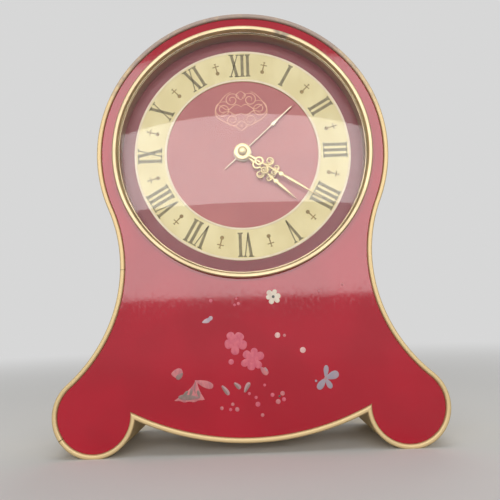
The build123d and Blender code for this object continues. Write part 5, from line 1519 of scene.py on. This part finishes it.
@dataclass
class Controls:
    """Keys, knobs and the alarm stop on the back."""

    face: float = 34.8
    hub_radius: float = 2.5
    hub_length: float = 7.5
    hub_bore: float = 1.42
    bore_depth: float = 5.0
    groove: float = 0.25
    lobe_reach: float = 4.8
    lobe_radius: float = 3.7
    lobe_hole: float = 1.5
    lobe_rise: float = 6.0
    key_thick: float = 1.5
    key_edge: float = 0.3
    knob_radius: float = 3.7
    knob_thick: float = 4.0
    knob_bore: float = 0.62
    knob_bore_depth: float = 3.0
    flutes: int = 24
    flute_depth: float = 0.35
    flute_steps: int = 8

    def build(self) -> None:
        """Builds and dresses everything that a hand turns or slides."""
        for name, node, body in (("time_key", "time_winding_key", "time_winding"),
                                 ("alarm_key", "alarm_winding_key", "alarm_winding")):
            self.key(name, node, body)
        for name, node, body in (("hand_knob", "set_knob", "hand_setting"),
                                 ("alarm_knob", "alarm_set_knob", "alarm_setting")):
            self.knob(name, node, body)
        self.stop()

    def key(self, name: str, node: str, body: str) -> None:
        """Key with a turned hub and two pierced lobes.

        Args:
            name: The piece's name.
            node: The CAD node that it stands for.
            body: The CAD body that it moves with.
        """
        sketch = Sketch()
        x, z = place_of(node)
        radius, root = self.hub_radius, self.face
        end, floor, bore = root + self.hub_length, root + self.bore_depth, self.hub_bore
        profile = [(0, floor), (bore, floor), (bore, root + 0.1), (bore + 0.1, root)]
        profile += [(radius - 0.2, root), (radius, root + 0.2), (radius, root + 1.1)]
        profile += [(radius - self.groove, root + 1.25), (radius - self.groove, root + 1.6)]
        profile += [(radius, root + 1.75), (radius, end - 0.6), (radius - 0.2, end - 0.2),
                    (radius - 0.6, end), (0, end)]
        sketch.lathe(profile, (x, z), 64)
        middle = self.face + self.lobe_rise
        right = arc((x + self.lobe_reach, middle), self.lobe_radius, -138, 138, 48)
        left = arc((x - self.lobe_reach, middle), self.lobe_radius, 42, 318, 48)
        holes = [circle((x + side.value * self.lobe_reach, middle), self.lobe_hole, 40) for side in Side]
        sketch.plate([right + left, *holes], z - self.key_thick / 2, z + self.key_thick / 2, self.key_edge,
                     Lie.LEVEL)
        sketch.piece(name, KEY_BRASS, body, [node], "key_brass", crease=35)

    def knob(self, name: str, node: str, body: str) -> None:
        """Knob with a fluted edge and a dished end.

        Args:
            name: The piece's name.
            node: The CAD node that it stands for.
            body: The CAD body that it moves with.
        """
        sketch = Sketch()
        place = place_of(node)
        edge, root = self.knob_radius, self.face
        back, bore_end = root + self.knob_thick, root + self.knob_bore_depth
        steps, bite = self.flutes * self.flute_steps, self.flute_depth

        def loop(radius: float, depth: float, cut: float = 0.0) -> list[int]:
            """Adds one loop.

            Args:
                radius: The loop's radius.
                depth: The loop's depth.
                cut: How deep its flutes are.

            Returns:
                The numbers of its points.
            """
            points = []
            for i in range(steps):
                wave = 0.5 + 0.5 * math.cos(2 * math.pi * i / self.flute_steps)
                x, z = polar(place, radius - cut * wave**3, 360 * i / steps)
                points.append((x, depth, z))
            return sketch.add(points)

        rows = [loop(*sizes) for sizes in (
            (0.65, root), (2.6, root), (edge - 0.3, root + 0.05, 0.1), (edge, root + 0.4, bite),
            (edge, back - 0.5, bite), (edge - 0.25, back - 0.12, 0.15), (edge - 0.6, back),
            (edge - 1.0, back - 0.05), (edge - 1.3, back - 0.3), (1.2, back - 0.35), (0.5, back - 0.2))]
        tip = sketch.add([(place[0], back - 0.15, place[1])])
        inside = [loop(self.knob_bore, depth) for depth in (root, bore_end)]
        floor = sketch.add([(place[0], bore_end, place[1])])
        sketch.skin(rows + [tip])
        sketch.skin([rows[0], *inside, floor])
        sketch.piece(name, KEY_BRASS, body, [node], "key_brass", crease=40)

    def stop(self) -> None:
        """Sliding button with three ribs, on a stem and an inner plate."""
        sketch = Sketch()
        place = place_of("alarm_stop")

        def block(width: float, height: float, corner: float, front: float, back: float,
                  edge: float) -> None:
            """Adds a block with rounded corners.

            Args:
                width: Its width.
                height: Its height.
                corner: Radius of its corners in the front view.
                front: Depth of its front.
                back: Depth of its back.
                edge: Radius of its other edges.
            """
            u, v = width / 2 - corner, height / 2 - corner
            outline = []
            for x, z, turn in ((u, -v, -90), (u, v, 0), (-u, v, 90), (-u, -v, 180)):
                outline += arc((x, z), corner, turn, turn + 90, 8)
            sketch.plate([placed(outline, place)], front, back, edge)

        block(5.0, 12.4, 0.4, 32.0, 32.8, 0.1)
        block(2.4, 2.4, 0.2, 32.7, 34.4, 0.0)
        block(4.6, 6.4, 1.15, 34.2, 36.0, 0.35)
        for rise in (-1.5, 0.0, 1.5):
            path = [(place[0] + 1.5 * t, place[1] + rise) for t in (-1, -0.9, 0, 0.9, 1)]
            sketch.ribbon(path, (0.3, 0.6, 0.7, 0.6, 0.3), 35.95, -0.42)
        sketch.piece("alarm_stop_button", KEY_BRASS, "alarm_stop", ["alarm_stop"], "key_brass", crease=30)


@dataclass
class Movement:
    """Everything that stays as the CAD made it, dressed by its slot."""

    finishes: dict[str, Finish] = field(default_factory=lambda: {
        "gilt": COVER_GILT,
        "red_lacquer": DIAL_RED,
        "steel": STEEL,
        "movement_brass": MOVEMENT_BRASS,
    })

    def build(self) -> None:
        """Gives every CAD node that still shows the finish of its slot."""
        slots = {part["node"]: part["material_slot"] for part in frame["record"]["subparts"]}
        for name, node in sorted(frame["nodes"].items()):
            if not node.hide_render:
                finish = self.finishes[slots[name]]
                node.data.materials.clear()
                node.data.materials.append(finish.material())
                log.info("%s dressed as %s", name, finish.name)


@dataclass
class Studio:
    """Pale floor, soft light and the camera."""

    floor_radii: Triple = (0.3, 1.0, 4.0)
    floor_steps: int = 64
    lens_share: float = 1.04756  # focal length over the width of the picture
    sensor: float = 36.0
    eye: Triple = (0.00167, -0.15724, 0.03266)
    yaw: float = 0.0038
    pitch: float = -0.1377
    roll: float = -0.0347
    sky: float = 0.22
    backdrop: float = 0.68
    nearest: float = 0.005

    def build(self) -> None:
        """Sets up the whole studio."""
        self.floor()
        self.light()
        self.camera()

    def floor(self) -> None:
        """Wide floor under the clock."""
        steps = self.floor_steps
        around = [point for radius in self.floor_radii for point in circle((0, 0), radius, steps)]
        points = [(0.0, 0.0, 0.0)] + [(x, y, 0.0) for x, y in around]
        faces = [[0, 1 + i, 1 + (i + 1) % steps] for i in range(steps)]
        for start in range(1, len(points) - steps, steps):
            for i in range(steps):
                j = (i + 1) % steps
                faces.append([start + i, start + steps + i, start + steps + j, start + j])
        mesh = bpy.data.meshes.new("floor")
        mesh.from_pydata(points, [], faces)
        ground = Ground("pale_floor", (0.72, 0.715, 0.70), (0.70, 0.695, 0.68), self.backdrop)
        mesh.materials.append(ground.material())
        floor = bpy.data.objects.new("floor", mesh)
        bpy.context.scene.collection.objects.link(floor)

    def light(self) -> None:
        """Even sky, paler where it is seen, with a soft lamp in front, one above and one behind."""
        world = bpy.data.worlds.new("soft_sky")
        bpy.context.scene.world = world
        world.use_nodes = True
        nodes, links = world.node_tree.nodes, world.node_tree.links
        level = nodes.new("ShaderNodeMapRange")
        links.new(seen_directly(world.node_tree), level.inputs["Value"])
        level.inputs["To Min"].default_value = self.sky
        level.inputs["To Max"].default_value = self.backdrop
        links.new(level.outputs["Result"], nodes["Background"].inputs["Strength"])
        nodes["Background"].inputs["Color"].default_value = (1.0, 1.0, 1.0, 1.0)
        self.lamp("front_lamp", (0.0, -1.4, 0.45), (0.0, 0.0, 0.06), 2.1, 0.7, 3.5)
        self.lamp("top_lamp", (0.0, -0.2, 1.5), (0.0, 0.0, 0.0), 1.1, 1.1, 1.6)
        self.lamp("back_lamp", (0.35, 1.5, 0.75), (0.0, 0.0, 0.06), 1.4, 0.9, 2.0)

    def lamp(self, name: str, place: Triple, aim: Triple, width: float, height: float, level: float) -> None:
        """Adds a flat soft lamp.

        Args:
            name: The lamp's name.
            place: Where it hangs.
            aim: Where it points.
            width: Its width.
            height: Its height.
            level: How bright its face looks, where 1 is white.
        """
        data = bpy.data.lights.new(name, "AREA")
        data.shape = "RECTANGLE"
        data.size, data.size_y = width, height
        data.energy = level * math.pi * width * height
        lamp = bpy.data.objects.new(name, data)
        lamp.location = place
        lamp.rotation_mode = "QUATERNION"
        lamp.rotation_quaternion = (Vector(aim) - Vector(place)).to_track_quat("-Z", "Y")
        bpy.context.scene.collection.objects.link(lamp)

    def camera(self) -> None:
        """Camera where the photograph was taken from."""
        data = bpy.data.cameras.new("camera")
        data.sensor_width = self.sensor
        data.lens = self.lens_share * self.sensor
        data.clip_start = self.nearest
        lens = bpy.data.objects.new("camera", data)
        turn = (Matrix.Rotation(self.roll, 3, "Z") @ Matrix.Rotation(self.pitch, 3, "X")
                @ Matrix.Rotation(self.yaw, 3, "Y") @ Matrix(((1, 0, 0), (0, 0, -1), (0, 1, 0))))
        right, down, forward = turn
        axes = Matrix((right, -down, -forward)).transposed()
        lens.matrix_world = Matrix.Translation(self.eye) @ axes.to_4x4()
        bpy.context.scene.collection.objects.link(lens)
        bpy.context.scene.camera = lens
        bpy.context.scene.view_settings.view_transform = "Standard"


def write_sizes() -> None:
    """Brings the view layer up to date."""
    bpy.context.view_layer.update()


def main() -> None:
    """Builds the clock and its studio."""
    logging.basicConfig(level=logging.INFO, format="%(message)s")
    assemblies: tuple[Callable[[], None], ...] = (
        Case().build, Bezel().build, Dial().build, Hands().build, PaintedFlowers().build, Controls().build,
        Movement().build, Studio().build, write_sizes,
    )
    for build in assemblies:
        build()


if __name__ == "__main__":
    main()
